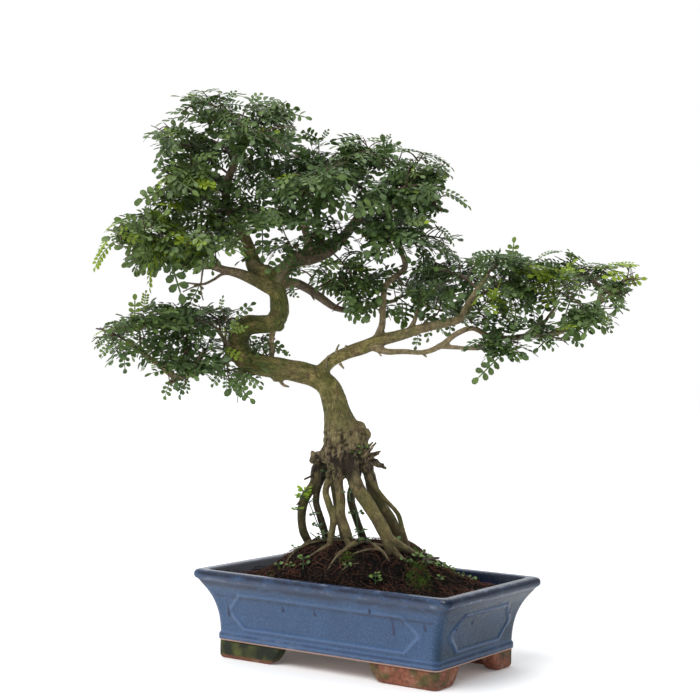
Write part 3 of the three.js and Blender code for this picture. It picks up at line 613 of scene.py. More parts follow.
soil_finish, tree, surface, where = finish_of("potting_soil", 0.9, 0.1)
colour = mixed(tree, speckle(tree, where, 160, 6, 0.4, 0.7), WET_SOIL, DRY_SOIL)
colour = mixed(tree, speckle(tree, where, 500, 3, 0.62, 0.7), colour, FIBRE)
green = times(tree, painted(tree, "moss"), speckle(tree, where, 220, 4, 0.3, 0.6))
colour = mixed(tree, green, colour, mixed(tree, speckle(tree, where, 90), DARK_MOSS, MOSS))
covered(tree, surface, colour, speckle(tree, where, 380, 6, 0, 1), 0.0022)

litter_finishes = {}
for name, rough, shine, grain, tones, relief in (
        ("soil_crumb", 0.85, 0.1, (110, 3, 0.5, 0.75), (WET_SOIL, CRUMB_BROWN), 0.0008),
        ("moss", 0.75, 0.2, (120, 4, 0.35, 0.65), (DARK_MOSS, MOSS), 0.0008),
        ("root_fibre", 0.7, 0.2, (45, 4, 0.35, 0.65), (FIBRE, OLD_FIBRE), 0.0003)):
    litter_finishes[name], tree, surface, where = finish_of(name, rough, shine)
    colour = mixed(tree, speckle(tree, where, *grain), *tones)
    covered(tree, surface, colour, speckle(tree, where, 900, 3, 0, 1), relief)


def random_size(tree, given):
    limits = {2: given["Least size"], 3: given["Most size"], "Seed": given["Seed"]}
    return node(tree, "FunctionNodeRandomValue", limits, data_type="FLOAT").outputs[1]


def kinds_apart(tree, given):
    return node(tree, "GeometryNodeCollectionInfo", {"Collection": given["Kinds"], "Separate Children": True,
                                                     "Reset Children": True}).outputs[0]


def litter_on_ground():
    """Geometry nodes: small things strewn over a surface, as thick as the value it carries says."""
    tree, given = nodes_for("litter on ground", "Ground", Kinds=("Collection", None), Where=("String", ""),
                            Density=("Float", 1.0e4), Tilt=("Float", 0.3), Least_size=("Float", 0.6),
                            Most_size=("Float", 1.4), Seed=("Int", 1), Finish=("Material", None))
    thick = times(tree, carried_value(tree, given["Where"]), given["Density"])
    spots = node(tree, "GeometryNodeDistributePointsOnFaces", {"Mesh": given["Ground"], "Density": thick,
                                                               "Seed": given["Seed"]}).outputs
    back = times(tree, given["Tilt"], -1.0)
    least = node(tree, "ShaderNodeCombineXYZ", {"X": back, "Y": back, "Z": -math.pi}).outputs[0]
    tilt = given["Tilt"]
    most = node(tree, "ShaderNodeCombineXYZ", {"X": tilt, "Y": tilt, "Z": math.pi}).outputs[0]
    spin = node(tree, "FunctionNodeRandomValue", {0: least, 1: most, "Seed": given["Seed"]},
                data_type="FLOAT_VECTOR")
    euler = node(tree, "FunctionNodeEulerToRotation", {"Euler": spin.outputs[0]}).outputs[0]
    turn = node(tree, "FunctionNodeRotateRotation", {"Rotation": spots["Rotation"], "Rotate By": euler},
                rotation_space="LOCAL")
    strewn = node(tree, "GeometryNodeInstanceOnPoints", {
        "Points": spots["Points"], "Instance": kinds_apart(tree, given), "Pick Instance": True,
        "Rotation": turn.outputs[0], "Scale": random_size(tree, given)})
    return ended(tree, "Litter", strewn.outputs[0], given["Finish"])


def kind_box(name, pieces):
    """A collection of the kinds of a small thing, kept out of the scene itself."""
    box = bpy.data.collections.new(name)
    for piece in pieces:
        bpy.context.scene.collection.objects.unlink(piece)
        box.objects.link(piece)
    return box


def cleared(box):
    for piece in list(box.objects):
        bpy.data.objects.remove(piece)
    bpy.data.collections.remove(box)


def crumb(name, number):
    """A rough little lump: a twelve-cornered ball pushed out of shape."""
    draw = np.random.default_rng(number)
    golden = (1 + 5 ** 0.5) / 2
    ball = np.array([(a, b * golden, 0) for a in (-1, 1) for b in (-1, 1)])
    ball = np.concatenate([ball, ball[:, (2, 0, 1)], ball[:, (1, 2, 0)]])
    faces = []
    for i, j, k in combinations(range(12), 3):
        if max(np.linalg.norm(ball[a] - ball[b]) for a, b in ((i, j), (j, k), (k, i))) < 2.1:
            outward = np.dot(np.cross(ball[j] - ball[i], ball[k] - ball[i]), ball[i]) > 0
            faces.append((i, j, k) if outward else (i, k, j))
    pushed = draw.uniform(0.35, 0.75, (2, 12, 1))[1]
    lump = ball * pushed * (1.0, 0.8, 0.55) * 0.9 * MM
    return piece_of(name, lump, faces, [litter_finishes["soil_crumb"]], False)


def fibre(name, number):
    """A thin bent root fibre that lies nearly flat."""
    draw = np.random.default_rng(40 + number)
    long, bend = draw.uniform(9, 20), draw.uniform(-7, 7)
    line = []
    for t in np.linspace(0, 1, 6):
        lift = 1.6 * math.sin(math.pi * t) + draw.uniform(-0.3, 0.5)
        knot = (long * (t - 0.5), bend * math.sin(3 * t + number), lift, 0.34 * (1.1 - 0.6 * t))
        line.append([v * MM for v in knot])
    return shown(name, made_real(lines_object(name, [line]), stems, Spacing=3.5 * MM, Sides=3,
                                 Finish=litter_finishes["root_fibre"]))


def moss_tuft(name, number):
    """A tuft of moss: short pointed shoots that lean every way from one foot."""
    draw = np.random.default_rng(60 + number)
    points, faces = [], []
    for k in range(6):
        lean, turn, tall = draw.uniform(0.1, 0.9), k * 1.05 + draw.uniform(0, 0.5), draw.uniform(1.0, 2.2)
        way = np.array((math.cos(turn) * math.sin(lean), math.sin(turn) * math.sin(lean), math.cos(lean)))
        start = len(points)
        for a in range(3):
            points.append((0.34 * math.cos(turn + a * 2.09), 0.34 * math.sin(turn + a * 2.09), -0.3))
        points.append(tuple(way * tall))
        faces += [(start + a, start + (a + 1) % 3, start + 3) for a in range(3)]
        faces.append((start + 2, start + 1, start))
    return piece_of(name, np.array(points) * MM, faces, [litter_finishes["moss"]])


def make_soil():
    sides = (side_stations(150, 500, 501, 4, 4), side_stations(93, 500, 501, 4, 4))
    points, moss = [], []
    for inset, height in SOIL_SIDES:
        ring = rim_ring(inset, sides)
        points += [(x, y, height) for (x, y), *_ in ring]
        moss += [0.0] * len(ring)
    edge = rim_ring(SOIL_EDGE, sides)
    shares = np.concatenate(([1.0], np.linspace(0.985, 0.02, 46)))
    for share in shares:
        for (x, y), *_ in edge:
            x, y = x * share, y * share
            points.append((x, y, SOIL_AT_WALL - 1 if share == 1 else lumpy_soil(x, y)))
            moss.append(moss_here(x, y))
    return points, ring_faces(len(SOIL_SIDES) + len(shares), len(edge)), moss


points, faces, moss = make_soil()
bare = [bare_here(x, y, value) if height > 74 else 0.0 for (x, y, height), value in zip(points, moss)]
ground = piece_of("potting_soil_ground", in_pot(points), faces, [soil_finish], moss=moss, bare=bare)
litter = litter_on_ground()
crumbs = kind_box("crumbs", [crumb(f"crumb_{i}", i) for i in range(3)])
fibres = kind_box("fibres", [fibre(f"fibre_{i}", i) for i in range(5)])
tufts = kind_box("tufts", [moss_tuft(f"tuft_{i}", i) for i in range(3)])
strewn = []
for number, (box, carried, density, tilt, least, most, finish) in enumerate([
        (crumbs, "bare", CRUMB_DENSITY, 1.0, 0.6, 2.2, "soil_crumb"),
        (fibres, "bare", FIBRE_DENSITY, 0.35, 0.6, 1.3, "root_fibre"),
        (tufts, "moss", MOSS_DENSITY, 0.5, 0.9, 1.7, "moss")]):
    copy = shown("ground_copy", ground.data.copy())
    made = made_real(copy, litter, Kinds=box, Where=carried, Density=density, Tilt=tilt, Least_size=least,
                     Most_size=most, Seed=number + 3, Finish=litter_finishes[finish])
    strewn.append(shown(f"litter_{number}", made))
    cleared(box)
soil = joined_pieces("potting_soil", [ground, *strewn])
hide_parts("soil")
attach(soil, "root")


# Tree. Trunk, boughs and roots are one grown piece of wood. It leaves the crown of bared roots, loops once,
# and ends in boughs that carry the pads. Every knot is right, away, up and radius, in millimetres.
TRUNK = [
    (-23, 2, 191, 17), (-22, 1, 209, 21), (-24, 0, 223, 22), (-29, 0, 237, 17), (-32, 0, 249, 13.5),
    (-36, 0, 263, 12), (-41, 0, 274, 11.5), (-51, 0, 282, 11), (-66, -3, 288, 11), (-84, -6, 291, 10.5),
    (-104, -7, 294, 10.5), (-122, -3, 299, 11), (-132, 3, 310, 11), (-132, 6, 323, 10.5),
    (-124, 5, 334, 10), (-111, 2, 336, 9.5), (-99, 0, 337, 9.5), (-92, 0, 346, 9.5), (-92, 0, 360, 9),
    (-96, 0, 376, 8.5),
]
BOUGHS = {
    "leader": [
        (-96, 0, 376, 8.5), (-109, 4, 385, 9), (-118, 7, 396, 8.5), (-124, 10, 414, 6),
        (-132, 12, 430, 5.5), (-143, 14, 447, 5), (-148, 14, 464, 4.5), (-145, 12, 484, 4.2),
        (-137, 8, 502, 3.6), (-131, 5, 520, 3), (-131, 2, 536, 2)],
    "left_bough": [
        (-99, -1, 372, 8), (-113, -6, 378, 6.5), (-130, -11, 385, 5.2), (-148, -16, 389, 4.4),
        (-163, -21, 394, 3.6), (-179, -26, 398, 3), (-196, -30, 405, 2.4)],
    "right_limb": [
        (-96, 0, 378, 8), (-87, 5, 392, 8), (-74, 9, 401, 8), (-56, 14, 405, 7), (-41, 19, 413, 6),
        (-28, 23, 427, 5.2), (-17, 26, 442, 4.8), (-5, 28, 461, 4), (13, 24, 481, 3.4), (38, 18, 494, 2.6)],
    "front_rise": [(-63, 11, 403, 5.5), (-65, 2, 421, 4), (-69, -8, 438, 3.5), (-74, -18, 459, 2.6)],
    "back_rise": [(-53, 14, 406, 5), (-52, 24, 424, 3.8), (-56, 34, 449, 3.2), (-56, 42, 475, 2.4)],
    "dark_bough": [
        (-96, 1, 374, 6.5), (-78, 8, 378, 5), (-63, 18, 372, 4.5), (-51, 28, 364, 4.2), (-35, 38, 354, 3.6),
        (-15, 46, 352, 3.2), (5, 54, 358, 2.8), (29, 60, 364, 2.2)],
    "long_bough": [
        (-54, 0, 284, 7), (-39, -4, 300, 6.4), (-26, -8, 307, 6.4), (-8, -12, 314, 7), (10, -15, 322, 6.4),
        (29, -18, 327, 5.5), (53, -22, 335, 5), (74, -25, 340, 4.6), (88, -28, 345, 4.4), (97, -31, 361, 4),
        (105, -33, 375, 3.2), (114, -34, 388, 2.4)],
    "long_lower": [
        (0, -13, 317, 5.2), (14, -20, 311, 3.6), (33, -26, 311, 2.9), (53, -31, 311, 2.8),
        (69, -35, 318, 3.0), (83, -37, 329, 3), (99, -38, 335, 2.8), (115, -37, 328, 2.8),
        (135, -34, 326, 3), (157, -29, 329, 3.2), (179, -24, 331, 3.2), (199, -18, 339, 3.2),
        (216, -13, 349, 3), (226, -9, 364, 2.8), (228, -6, 378, 2.2)],
    "lower_tip": [(65, -34, 317, 3), (83, -42, 316, 2.3), (104, -50, 315, 2)],
    "long_rise": [
        (5, -14, 319, 4.8), (11, -10, 336, 3.6), (12, -4, 356, 3.4), (14, 4, 376, 3.2), (25, 10, 387, 3.2),
        (34, 14, 396, 3.2), (30, 18, 411, 2.8), (22, 22, 428, 2.2)],
    "small_rise": [(36, -19, 328, 3.4), (44, -14, 344, 2.4), (47, -8, 358, 2), (53, -2, 373, 1.7)],
    "outer_rise": [(160, -29, 329, 2.8), (172, -22, 344, 2.1), (183, -16, 358, 1.8)],
    "outer_side": [(225, -9, 361, 2.6), (239, -12, 372, 1.9), (252, -14, 382, 1.7)],
    "low_left": [
        (-128, 2, 309, 8), (-141, -4, 302, 4.8), (-152, -11, 293, 4.2), (-165, -18, 290, 4),
        (-178, -24, 285, 3.8), (-192, -28, 283, 3.4), (-206, -29, 293, 3), (-222, -28, 304, 2.6),
        (-238, -26, 316, 2)],
    "low_left_stub": [(-183, -25, 284, 3.2), (-199, -30, 275, 2.4)],
    "low_left_rise": [(-179, -24, 285, 3.2), (-183, -16, 305, 2.3), (-182, -6, 327, 1.8)],
    "low_left_back": [(-141, -3, 302, 3.6), (-147, 12, 319, 2.6), (-158, 26, 333, 2)],
}
ROOTS = [
    [(-36, 4, 214, 9), (-51, 6, 192, 6), (-53, 8, 178, 5.2), (-63, 10, 161, 5), (-66, 12, 144, 4.6),
     (-64, 14, 128, 4.4), (-57, 16, 113, 4.2), (-50, 18, 92, 3.6)],
    [(-35, 14, 208, 8), (-46, 20, 183, 4.2), (-52, 24, 158, 3.6), (-46, 26, 138, 3.4), (-39, 29, 117, 3.2),
     (-34, 32, 95, 2.8)],
    [(-34, -8, 209, 8), (-37, -12, 188, 4.4), (-42, -14, 172, 3.8), (-38, -16, 158, 3.6),
     (-34, -18, 143, 3.4), (-36, -20, 124, 3.4), (-38, -22, 100, 2.8)],
    [(-28, -12, 210, 10), (-30, -16, 187, 5.6), (-27, -18, 165, 5.2), (-26, -20, 147, 5),
     (-19, -24, 128, 5), (-12, -28, 103, 4)],
    [(-20, -12, 212, 12), (-16, -17, 189, 7.4), (-8, -21, 172, 7), (3, -24, 156, 6.6), (13, -28, 140, 6.6),
     (21, -31, 124, 6.4), (26, -34, 100, 4.6)],
    [(-10, 4, 211, 12), (0, 6, 191, 6.6), (5, 8, 173, 6.2), (13, 9, 157, 6), (24, 10, 141, 5.8),
     (33, 11, 121, 5.6), (38, 12, 97, 4)],
    [(-8, -6, 209, 7), (1, -7, 185, 3), (15, -8, 166, 2.6), (30, -9, 150, 2.5), (35, -10, 135, 2.5),
     (42, -12, 115, 2.4), (46, -13, 99, 2)],
    [(-16, 18, 208, 9), (-11, 26, 185, 5), (-17, 34, 162, 4.4), (-11, 40, 139, 4), (-2, 46, 114, 3.8),
     (3, 50, 90, 3)],
]
KNOBS = [
    (-6, -3, 228, 9), (-10, -9, 235, 8), (-40, -9, 206, 7), (-14, -16, 216, 9), (-106, 2, 388, 10),
    (-94, 0, 334, 8), (-91, -10, 283, 7),
]
SNAGS = [
    [(-6, -8, 209, 4.5), (6, -12, 203, 2.8), (15, -15, 197, 2.2)],
    [(-40, 0, 209, 5), (-50, -5, 206, 3.6), (-56, -8, 209, 2.2)],
    [(-46, -4, 206, 5), (-54, -6, 204, 3.4), (-57, -6, 198, 2.6)],
]
# Strands that wrap the crown of roots, where the old root ball was washed free.
STRANDS = [
    [(-32, -10, 228, 2.4), (-35, -15, 214, 2.8), (-33, -17, 202, 2.4)],
    [(-24, -17, 231, 2.4), (-20, -20, 217, 2.8), (-24, -19, 203, 2.4)],
    [(-13, -16, 232, 2.6), (-13, -19, 218, 3.0), (-17, -20, 206, 2.6)],
    [(-7, -11, 226, 2.6), (-4, -13, 212, 2.6), (-7, -16, 202, 2.2)],
    [(-39, -5, 222, 2.4), (-42, -8, 210, 2.4), (-43, -8, 200, 2.0)],
    [(-43, -5, 214, 2.2), (-31, -16, 208, 2.4), (-15, -21, 207, 2.4), (0, -14, 202, 2.2)],
    [(-28, -16, 222, 2.2), (-20, -21, 211, 2.4), (-10, -20, 203, 2.2)],
    [(-15, -18, 224, 2.2), (-22, -21, 214, 2.4), (-31, -18, 206, 2.2)],
]
# Fine wood that stays as it is: spurs and bare twigs on the boughs, dead bits on the crown of roots.
FINE_WOOD = [
    [(-34, -10, 308, 1.6), (-33, -12, 313, 1.1), (-31, -12, 317, 0.8)],
    [(-24, -10, 309, 2.2), (-24, -12, 316, 1.4)], [(-30, -10, 298, 1.8), (-26, -12, 293, 0.8)],
    [(18, -16, 322, 1.2), (18, -18, 328, 1.0), (20, -18, 329, 0.8)],
    [(8, -18, 310, 1.2), (11, -19, 306, 0.7)], [(52, -30, 309, 1.4), (55, -31, 306, 0.7)],
    [(-44, -8, 293, 1.8), (-43, -10, 303, 1.2), (-40, -11, 306, 0.8)],
    [(-166, -22, 394, 1.2), (-168, -22, 376, 0.8), (-168, -20, 366, 0.7), (-166, -18, 358, 0.6)],
    [(-128, -12, 384, 2.2), (-146, -14, 385, 1.6), (-156, -16, 379, 1.4), (-167, -18, 374, 1.2),
     (-182, -20, 375, 0.8)],
    [(-167, -18, 374, 1.0), (-176, -20, 371, 0.8), (-186, -22, 366, 0.6)],
    [(-196, -30, 405, 2.0), (-224, -30, 418, 1.6), (-240, -34, 421, 1.3), (-259, -38, 425, 0.9)],
    [(-152, -20, 391, 2.0), (-170, -26, 390, 1.6), (-190, -30, 393, 1.0)],
    [(-97, 0, 332, 3.2), (-99, 0, 320, 2.8), (-98, 0, 306, 2.4), (-101, -2, 296, 2.0)],
    [(-63, 16, 373, 1.8), (-60, 14, 366, 1.2), (-57, 12, 361, 0.7)],
    [(-91, -10, 283, 2.4), (-86, -11, 276, 1.6), (-80, -11, 274, 0.9)],
    [(-8, -14, 206, 3.0), (-2, -20, 209, 2.2), (4, -24, 217, 1.4), (7, -25, 221, 0.8)],
    [(-10, -14, 206, 2.2), (-2, -16, 214, 1.6), (4, -17, 221, 0.9)],
    [(0, -16, 205, 2.0), (10, -18, 210, 1.0)],
    [(2, -14, 201, 2.6), (10, -16, 198, 2.0), (18, -17, 195, 1.2)],
    [(-40, -12, 200, 1.8), (-50, -14, 202, 0.9)],
    [(-34, -2, 200, 3.2), (-35, -4, 182, 3.0), (-33, -4, 166, 2.8), (-30, -2, 148, 2.6), (-26, 2, 130, 2.4),
     (-22, 4, 108, 2.2)],
    [(-50, 8, 184, 2.4), (-53, 10, 165, 2.0), (-50, 12, 146, 1.8), (-45, 14, 128, 1.6),
     (-40, 16, 108, 1.6)],
    [(-33, -14, 221, 3.0), (-40, -17, 213, 3.4), (-38, -19, 204, 3.2), (-31, -19, 202, 2.6)],
    [(-34, -18, 196, 1.6), (-42, -22, 188, 0.9)], [(-53, 7, 186, 1.8), (-64, 2, 181, 0.8)],
    [(-64, 10, 162, 2.0), (-71, 6, 155, 0.8)],
    [(0, -12, 208, 1.8), (6, -17, 210, 1.2), (12, -18, 212, 0.7)],
]
# Roots that run over the soil: right, away, how high above the soil, and radius.
SURFACE_ROOTS = [
    [(-82, -29, -1, 0.9), (-75, -17, 1.2, 1.2), (-64, -5, 1.8, 1.5), (-54, 3, 2, 1.6), (-40, 4, 2.4, 1.7),
     (-24, -2, 2.4, 1.7), (-11, -6, 2.4, 1.7), (-2, -13, 2.4, 1.6), (8, -24, 2, 1.5), (22, -27, 2, 1.5),
     (38, -22, 1.5, 1.6), (50, -14, 0, 1.2)],
    [(-38, -58, -1, 0.8), (-31, -50, 1.2, 1.3), (-23, -41, 1.5, 1.6), (-12, -25, 2, 1.7),
     (-2, -13, 1.5, 1.7)],
    [(-14, -44, -0.5, 0.7), (-4, -41, 1.6, 1.3), (6, -36, 1.8, 1.5), (15, -34, 1.2, 1.3)],
    [(-27, -65, -1, 0.6), (-19, -61, 1.3, 1.1), (-8, -57, 0, 0.8)],
    [(-2, -12, 2, 1.6), (4, -22, 2, 1.8), (10, -32, 2, 1.9), (16, -38, 1.5, 1.6), (22, -46, -1, 1.0)],
    [(34, -26, 2, 2.6), (43, -21, 2, 2.4), (52, -19, 1.5, 1.9), (61, -18, 0.5, 1.3), (72, -14, -1, 0.8)],
    [(46, -38, -1, 0.9), (57, -24, 2, 1.5), (66, -8, 4.5, 1.6), (73, 7, 6.5, 1.0)],
    [(70, 10, 1, 1.1), (79, 12, 3.5, 1.2), (87, 9, 1.5, 0.9), (93, 4, -1, 0.6)],
    [(-57, 14, 3, 3.0), (-64, 6, 1.5, 2.0), (-71, -5, 1, 1.3), (-80, -13, -1, 0.8)],
    [(20, -31, 11, 6.4), (29, -29, 6, 6.0), (38, -24, 2, 5.0), (48, -15, -1, 3.6)],
    [(24, -34, 4, 4.6), (33, -38, 0, 3.2), (42, -42, -3, 1.6)],
    [(-12, -28, 4, 3.6), (-20, -36, 2, 2.2), (-32, -42, -1, 1.0)],
    [(-36, -20, 3, 3.0), (-46, -28, 1, 1.7), (-58, -32, -1, 0.8)],
    [(38, 12, 3, 3.6), (50, 14, 2, 2.4), (62, 12, -1, 1.2)],
    [(-48, 18, 3, 3.0), (-60, 24, 1, 1.6), (-72, 26, -1, 0.8)],
]
WOOD_VOXEL = 1.5 * MM
# The crown of roots and the hollow in its front: how high each is, and how far round.
CROWN_HEIGHT, CROWN_REACH = 208, 26
HOLLOW_RIGHT, HOLLOW_HEIGHT, HOLLOW_WIDE, HOLLOW_TALL = -19, 201, 7, 13
OLIVE_BARK = (0.250, 0.215, 0.050)
PALE_BARK = (0.430, 0.355, 0.135)
MOSSY_BARK, DEEP_MOSS = (0.100, 0.130, 0.018), (0.055, 0.074, 0.013)
BROWN_BARK = (0.165, 0.112, 0.052)
PINK_BARK = (0.480, 0.355, 0.260)
CRACK_BROWN = (0.055, 0.042, 0.018)
BARK_IN_SHADE = (0.022, 0.014, 0.008)


def in_view(points):
    """From right, away and up as seen from the best side, in millimetres, to the object's own frame."""
    points = np.asarray(points, float)
    return np.stack([*from_view(points[..., 0], points[..., 1]), points[..., 2]], axis=-1) * MM + pot_middle


def from_frame(points):
    """The way back: from the object's own frame to right, away and up in millimetres."""
    flat = (np.asarray(points, float) - pot_middle) / MM
    return np.stack([*to_view(flat[..., 0], flat[..., 1]), flat[..., 2]], axis=-1)


def framed_line(knots):
    return [(*place, knot[3] * MM) for place, knot in zip(in_view([k[:3] for k in knots]), knots)]


bark, tree, surface, where = finish_of("bark", 0.66, 0.3)
along_grain = painted(tree, "grain", "Vector")
streaks = speckle(tree, along_grain, 1.0, 6, 0.42, 0.66, (0.16, 1.1, 1.1))
cracks = speckle(tree, along_grain, 1.0, 5, 0.55, 0.68, (0.22, 0.8, 0.8))
green = times(tree, painted(tree, "green"), speckle(tree, where, 75, 6, 0.36, 0.56))
rosy = mixed(tree, speckle(tree, where, 120, 5, 0.4, 0.65), PINK_BARK, darker(PINK_BARK, 0.6))
colour = layered(
    tree, mixed(tree, speckle(tree, where, 46, 6, 0.38, 0.62), OLIVE_BARK, BROWN_BARK),
    (times(tree, speckle(tree, where, 170, 5, 0.46, 0.62), 0.7), PALE_BARK),
    (green, mixed(tree, speckle(tree, where, 260, 4), MOSSY_BARK, DEEP_MOSS)),
    (painted(tree, "brown"), rosy),
    (times(tree, streaks, 0.42), PALE_BARK),
    (times(tree, cracks, 0.28), CRACK_BROWN),
    # painted shade
    (painted(tree, "painted_shade"), BARK_IN_SHADE))
fine = combined(tree, "SUBTRACT", speckle(tree, where, 420, 6, 0, 1), cracks)
covered(tree, surface, colour, combined(tree, "ADD", streaks, fine), 0.0018)

main_lines = (TRUNK, *BOUGHS.values(), *ROOTS, *SNAGS, *STRANDS)
wood_lines = [framed_line(k) for k in main_lines]
wood_lines += [framed_line([(x, y, z - r * 0.6, r * 0.7), (x, y, z, r), (x + 1, y, z + r * 0.7, r * 0.6)])
               for x, y, z, r in KNOBS]
wood = shown("tree_wood", made_real(lines_object("wood_lines", wood_lines), stems,
                                    Spacing=2.5 * MM, Sides=14, Finish=bark))


def applied(target, kind, **settings):
    modifier = target.modifiers.new(kind.lower(), kind)
    for name, value in settings.items():
        setattr(modifier, name, value)
    old, target.data = target.data, evaluated_mesh(target)
    target.modifiers.clear()
    bpy.data.meshes.remove(old)


applied(wood, "REMESH", mode="VOXEL", voxel_size=WOOD_VOXEL, use_smooth_shade=True)
applied(wood, "SMOOTH", factor=0.5, iterations=4)


def sampled(line, step):
    """Places every step millimetres along a knotted line: place, radius, how far along and which way."""
    rows, travelled = [], 0.0
    smooth = smooth_profile(line, step)
    for i, row in enumerate(smooth):
        ahead = smooth[min(i + 1, len(smooth) - 1)][:3] - smooth[max(i - 1, 0)][:3]
        if i:
            travelled += np.linalg.norm(row[:3] - smooth[i - 1][:3])
        rows.append((row[:3], row[3], travelled, ahead / max(np.linalg.norm(ahead), 1e-6)))
    return rows


def surface_line(knots):
    """A root over the soil, from its height above it to its place."""
    return [(right, away, soil_height(*from_view(right, away)) + lift, radius)
            for right, away, lift, radius in knots]


def per_point(mesh, name):
    values = np.empty(len(mesh.vertices) * 3, np.float32)
    mesh.vertices.foreach_get(name, values)
    return values.reshape(-1, 3)


def moss_on_wood(up, right, radius, lump, crown):
    """How mossy the wood is: most on the loop of the trunk, less on its bend, least on the crown of roots."""
    on_loop = up > 304 and right < -80 and radius > 7.5
    on_bend = 265 < up < 305 and -125 < right < -38
    return held((2.2 if on_loop else 0.8 if on_bend else 0.45) + lump * 0.9 - crown * 0.6, 2)


def brown_of_wood(right, away, up, radius, crown):
    """How pinkish brown the bark is: thin and high wood, the crown of roots and thin root ends are."""
    thin_wood = held((6.4 - radius) / 2.5) * (up > 250) * (0.5 if up < 345 or right > -20 else 0.9)
    start = 425 if -140 < right < -98 and away > 0 else 372 if right > -95 else 385
    high_wood = held((up - start) / 25) * (radius < 9)
    root_end = 0.45 * (up < 125 and radius < 3.2)
    return min(0.92, max(thin_wood, high_wood, crown * 0.5, 0.1 * (up < 205), root_end))


def shade_of_wood(right, away, up, radius, lump, facing_up):
    """How much painted shade darkens the bark: low and inside among the roots, on their undersides, under the
    crown and under the pads.
    """
    in_roots = held((200 - up) / 60) * held(facing_up * -0.5 + 0.3)
    inner = held((away + 8) / 22) * held((222 - up) / 30)
    under_right = 0.45 * (-90 < right < -10 and 340 < up < 384 and away > 6)
    under_left = 0.2 * (-170 < right < -104 and 370 < up < 400)
    under_crown = near(up, 197, 13) * (0.3 + 0.5 * lump) if -60 < right < 20 else 0.0
    return (under_crown + held((126 - up) / 20) * 0.35 + in_roots * 0.7 + inner * 0.35
            + (0.1 + max(0, -lump) * 0.5) * (up < 200) + (under_right + under_left) * (radius < 6.5))


def dress_wood(wood, lines, carved):
    """Carves grain and lumps into the wood and notes where it is mossy, brown or in painted shade."""
    core = []
    for number, line in enumerate(k for k in lines if k not in STRANDS):
        core += [(number, *row) for row in sampled(line, 3)]
    nearest = KDTree(len(core))
    for i, row in enumerate(core):
        nearest.insert(Vector(row[1]), i)
    nearest.balance()
    mesh = wood.data
    places, normals = per_point(mesh, "co"), per_point(mesh, "normal")
    grain, green, brown, painted_shade = [], [], [], []
    for i, (right, away, up) in enumerate(from_frame(places)):
        spot = Vector((right, away, up))
        number, middle, radius, along, way = core[nearest.find(spot)[1]]
        out = np.array(spot) - middle
        side = np.cross(way, (0.31, 0.42, 0.85))
        side /= np.linalg.norm(side)
        ring = (float(np.dot(out, side)), float(np.dot(out, np.cross(way, side))))
        grain.append((along + number * 97, ring[0], ring[1]))
        ridge = noise.noise(Vector((along * 0.035 + number * 9, ring[0] * 0.42, ring[1] * 0.42)))
        lump = noise.noise(spot * 0.06 + Vector((number, 0, 0)))
        crown = near(up, CROWN_HEIGHT, CROWN_REACH) if right > -70 and up < 250 else 0.0
        burl = noise.noise(Vector((right * 0.2, away * 0.2, up * 0.1))) * crown
        knobs = noise.noise(Vector((right * 0.5, away * 0.5, up * 0.3))) * crown
        hollow = 0.0
        if away < -4 and up > 180:
            hollow = near(right, HOLLOW_RIGHT, HOLLOW_WIDE) * near(up, HOLLOW_HEIGHT, HOLLOW_TALL)
        push = ridge * min(0.1 * radius, 1.0) + lump * min(0.09 * radius, 0.9)
        push += burl * 1.8 + knobs * 1.1 - hollow * 3
        places[i] += normals[i] * push * carved * MM
        green.append(moss_on_wood(up, right, radius, lump, crown))
        brown.append(brown_of_wood(right, away, up, radius, crown))
        # Painted shade where the burls, knobs and the hollow in front sink in, a little over the whole crown
        # of roots, and among the roots and under the pads.
        painted_shade.append(min(0.95, max(0, burl * -1.5 - knobs * 1.6 + crown * 0.36) + hollow * 0.85
                        + shade_of_wood(right, away, up, radius, lump, normals[i][2])))
    mesh.vertices.foreach_set("co", places.reshape(-1))
    keep_values(mesh, "grain", grain, "FLOAT_VECTOR")
    for name, values in (("green", green), ("brown", brown), ("painted_shade", painted_shade)):
        keep_values(mesh, name, values)
    mesh.materials.clear()
    mesh.materials.append(bark)
    mesh.update()


dress_wood(wood, main_lines, 1.0)
fine_lines = [*FINE_WOOD, *(surface_line(knots) for knots in SURFACE_ROOTS)]
fine_object = lines_object("fine_lines", [framed_line(k) for k in fine_lines])
fine_wood = shown("fine_wood", made_real(fine_object, stems, Spacing=1.5 * MM, Sides=8, Finish=bark))
dress_wood(fine_wood, fine_lines, 0.5)
wood = joined_pieces("tree_wood", [wood, fine_wood])
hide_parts("tree")
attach(wood, "root")


# Leafy sprays. Each is a shoot of the year: a thin brown twig with side twigs, and compound leaves that stand
# out to both sides of it, each of a winged stalk with small round leaflets in pairs and one at the tip. The
# pads are clipped to an outline, and single leaves arch over it or hang below.
# Every kind of leaf: pairs, way between pairs, leaflet length, half its width, and how far the leaf arches.
LEAF_KINDS = [
    (4, 6.0, 8.6, 2.4, 0.55), (3, 7.2, 9.4, 3.0, 0.70), (3, 5.8, 8.2, 2.4, 0.35), (3, 7.8, 9.6, 3.2, 0.55),
    (3, 5.4, 6.8, 2.3, 0.10), (4, 7.8, 8.8, 3.1, 0.15), (6, 5.2, 7.2, 2.0, 0.75),
]
# The kinds that stand and those that hang, with the share of each, and two with a use of their own.
STANDING_KINDS, HANGING_KINDS = ((0, 2, 6), (0.4, 0.4, 0.2)), ((1, 3, 5), (0.5, 0.38, 0.12))
YOUNG_KIND, ARCHING_KIND = 4, 6
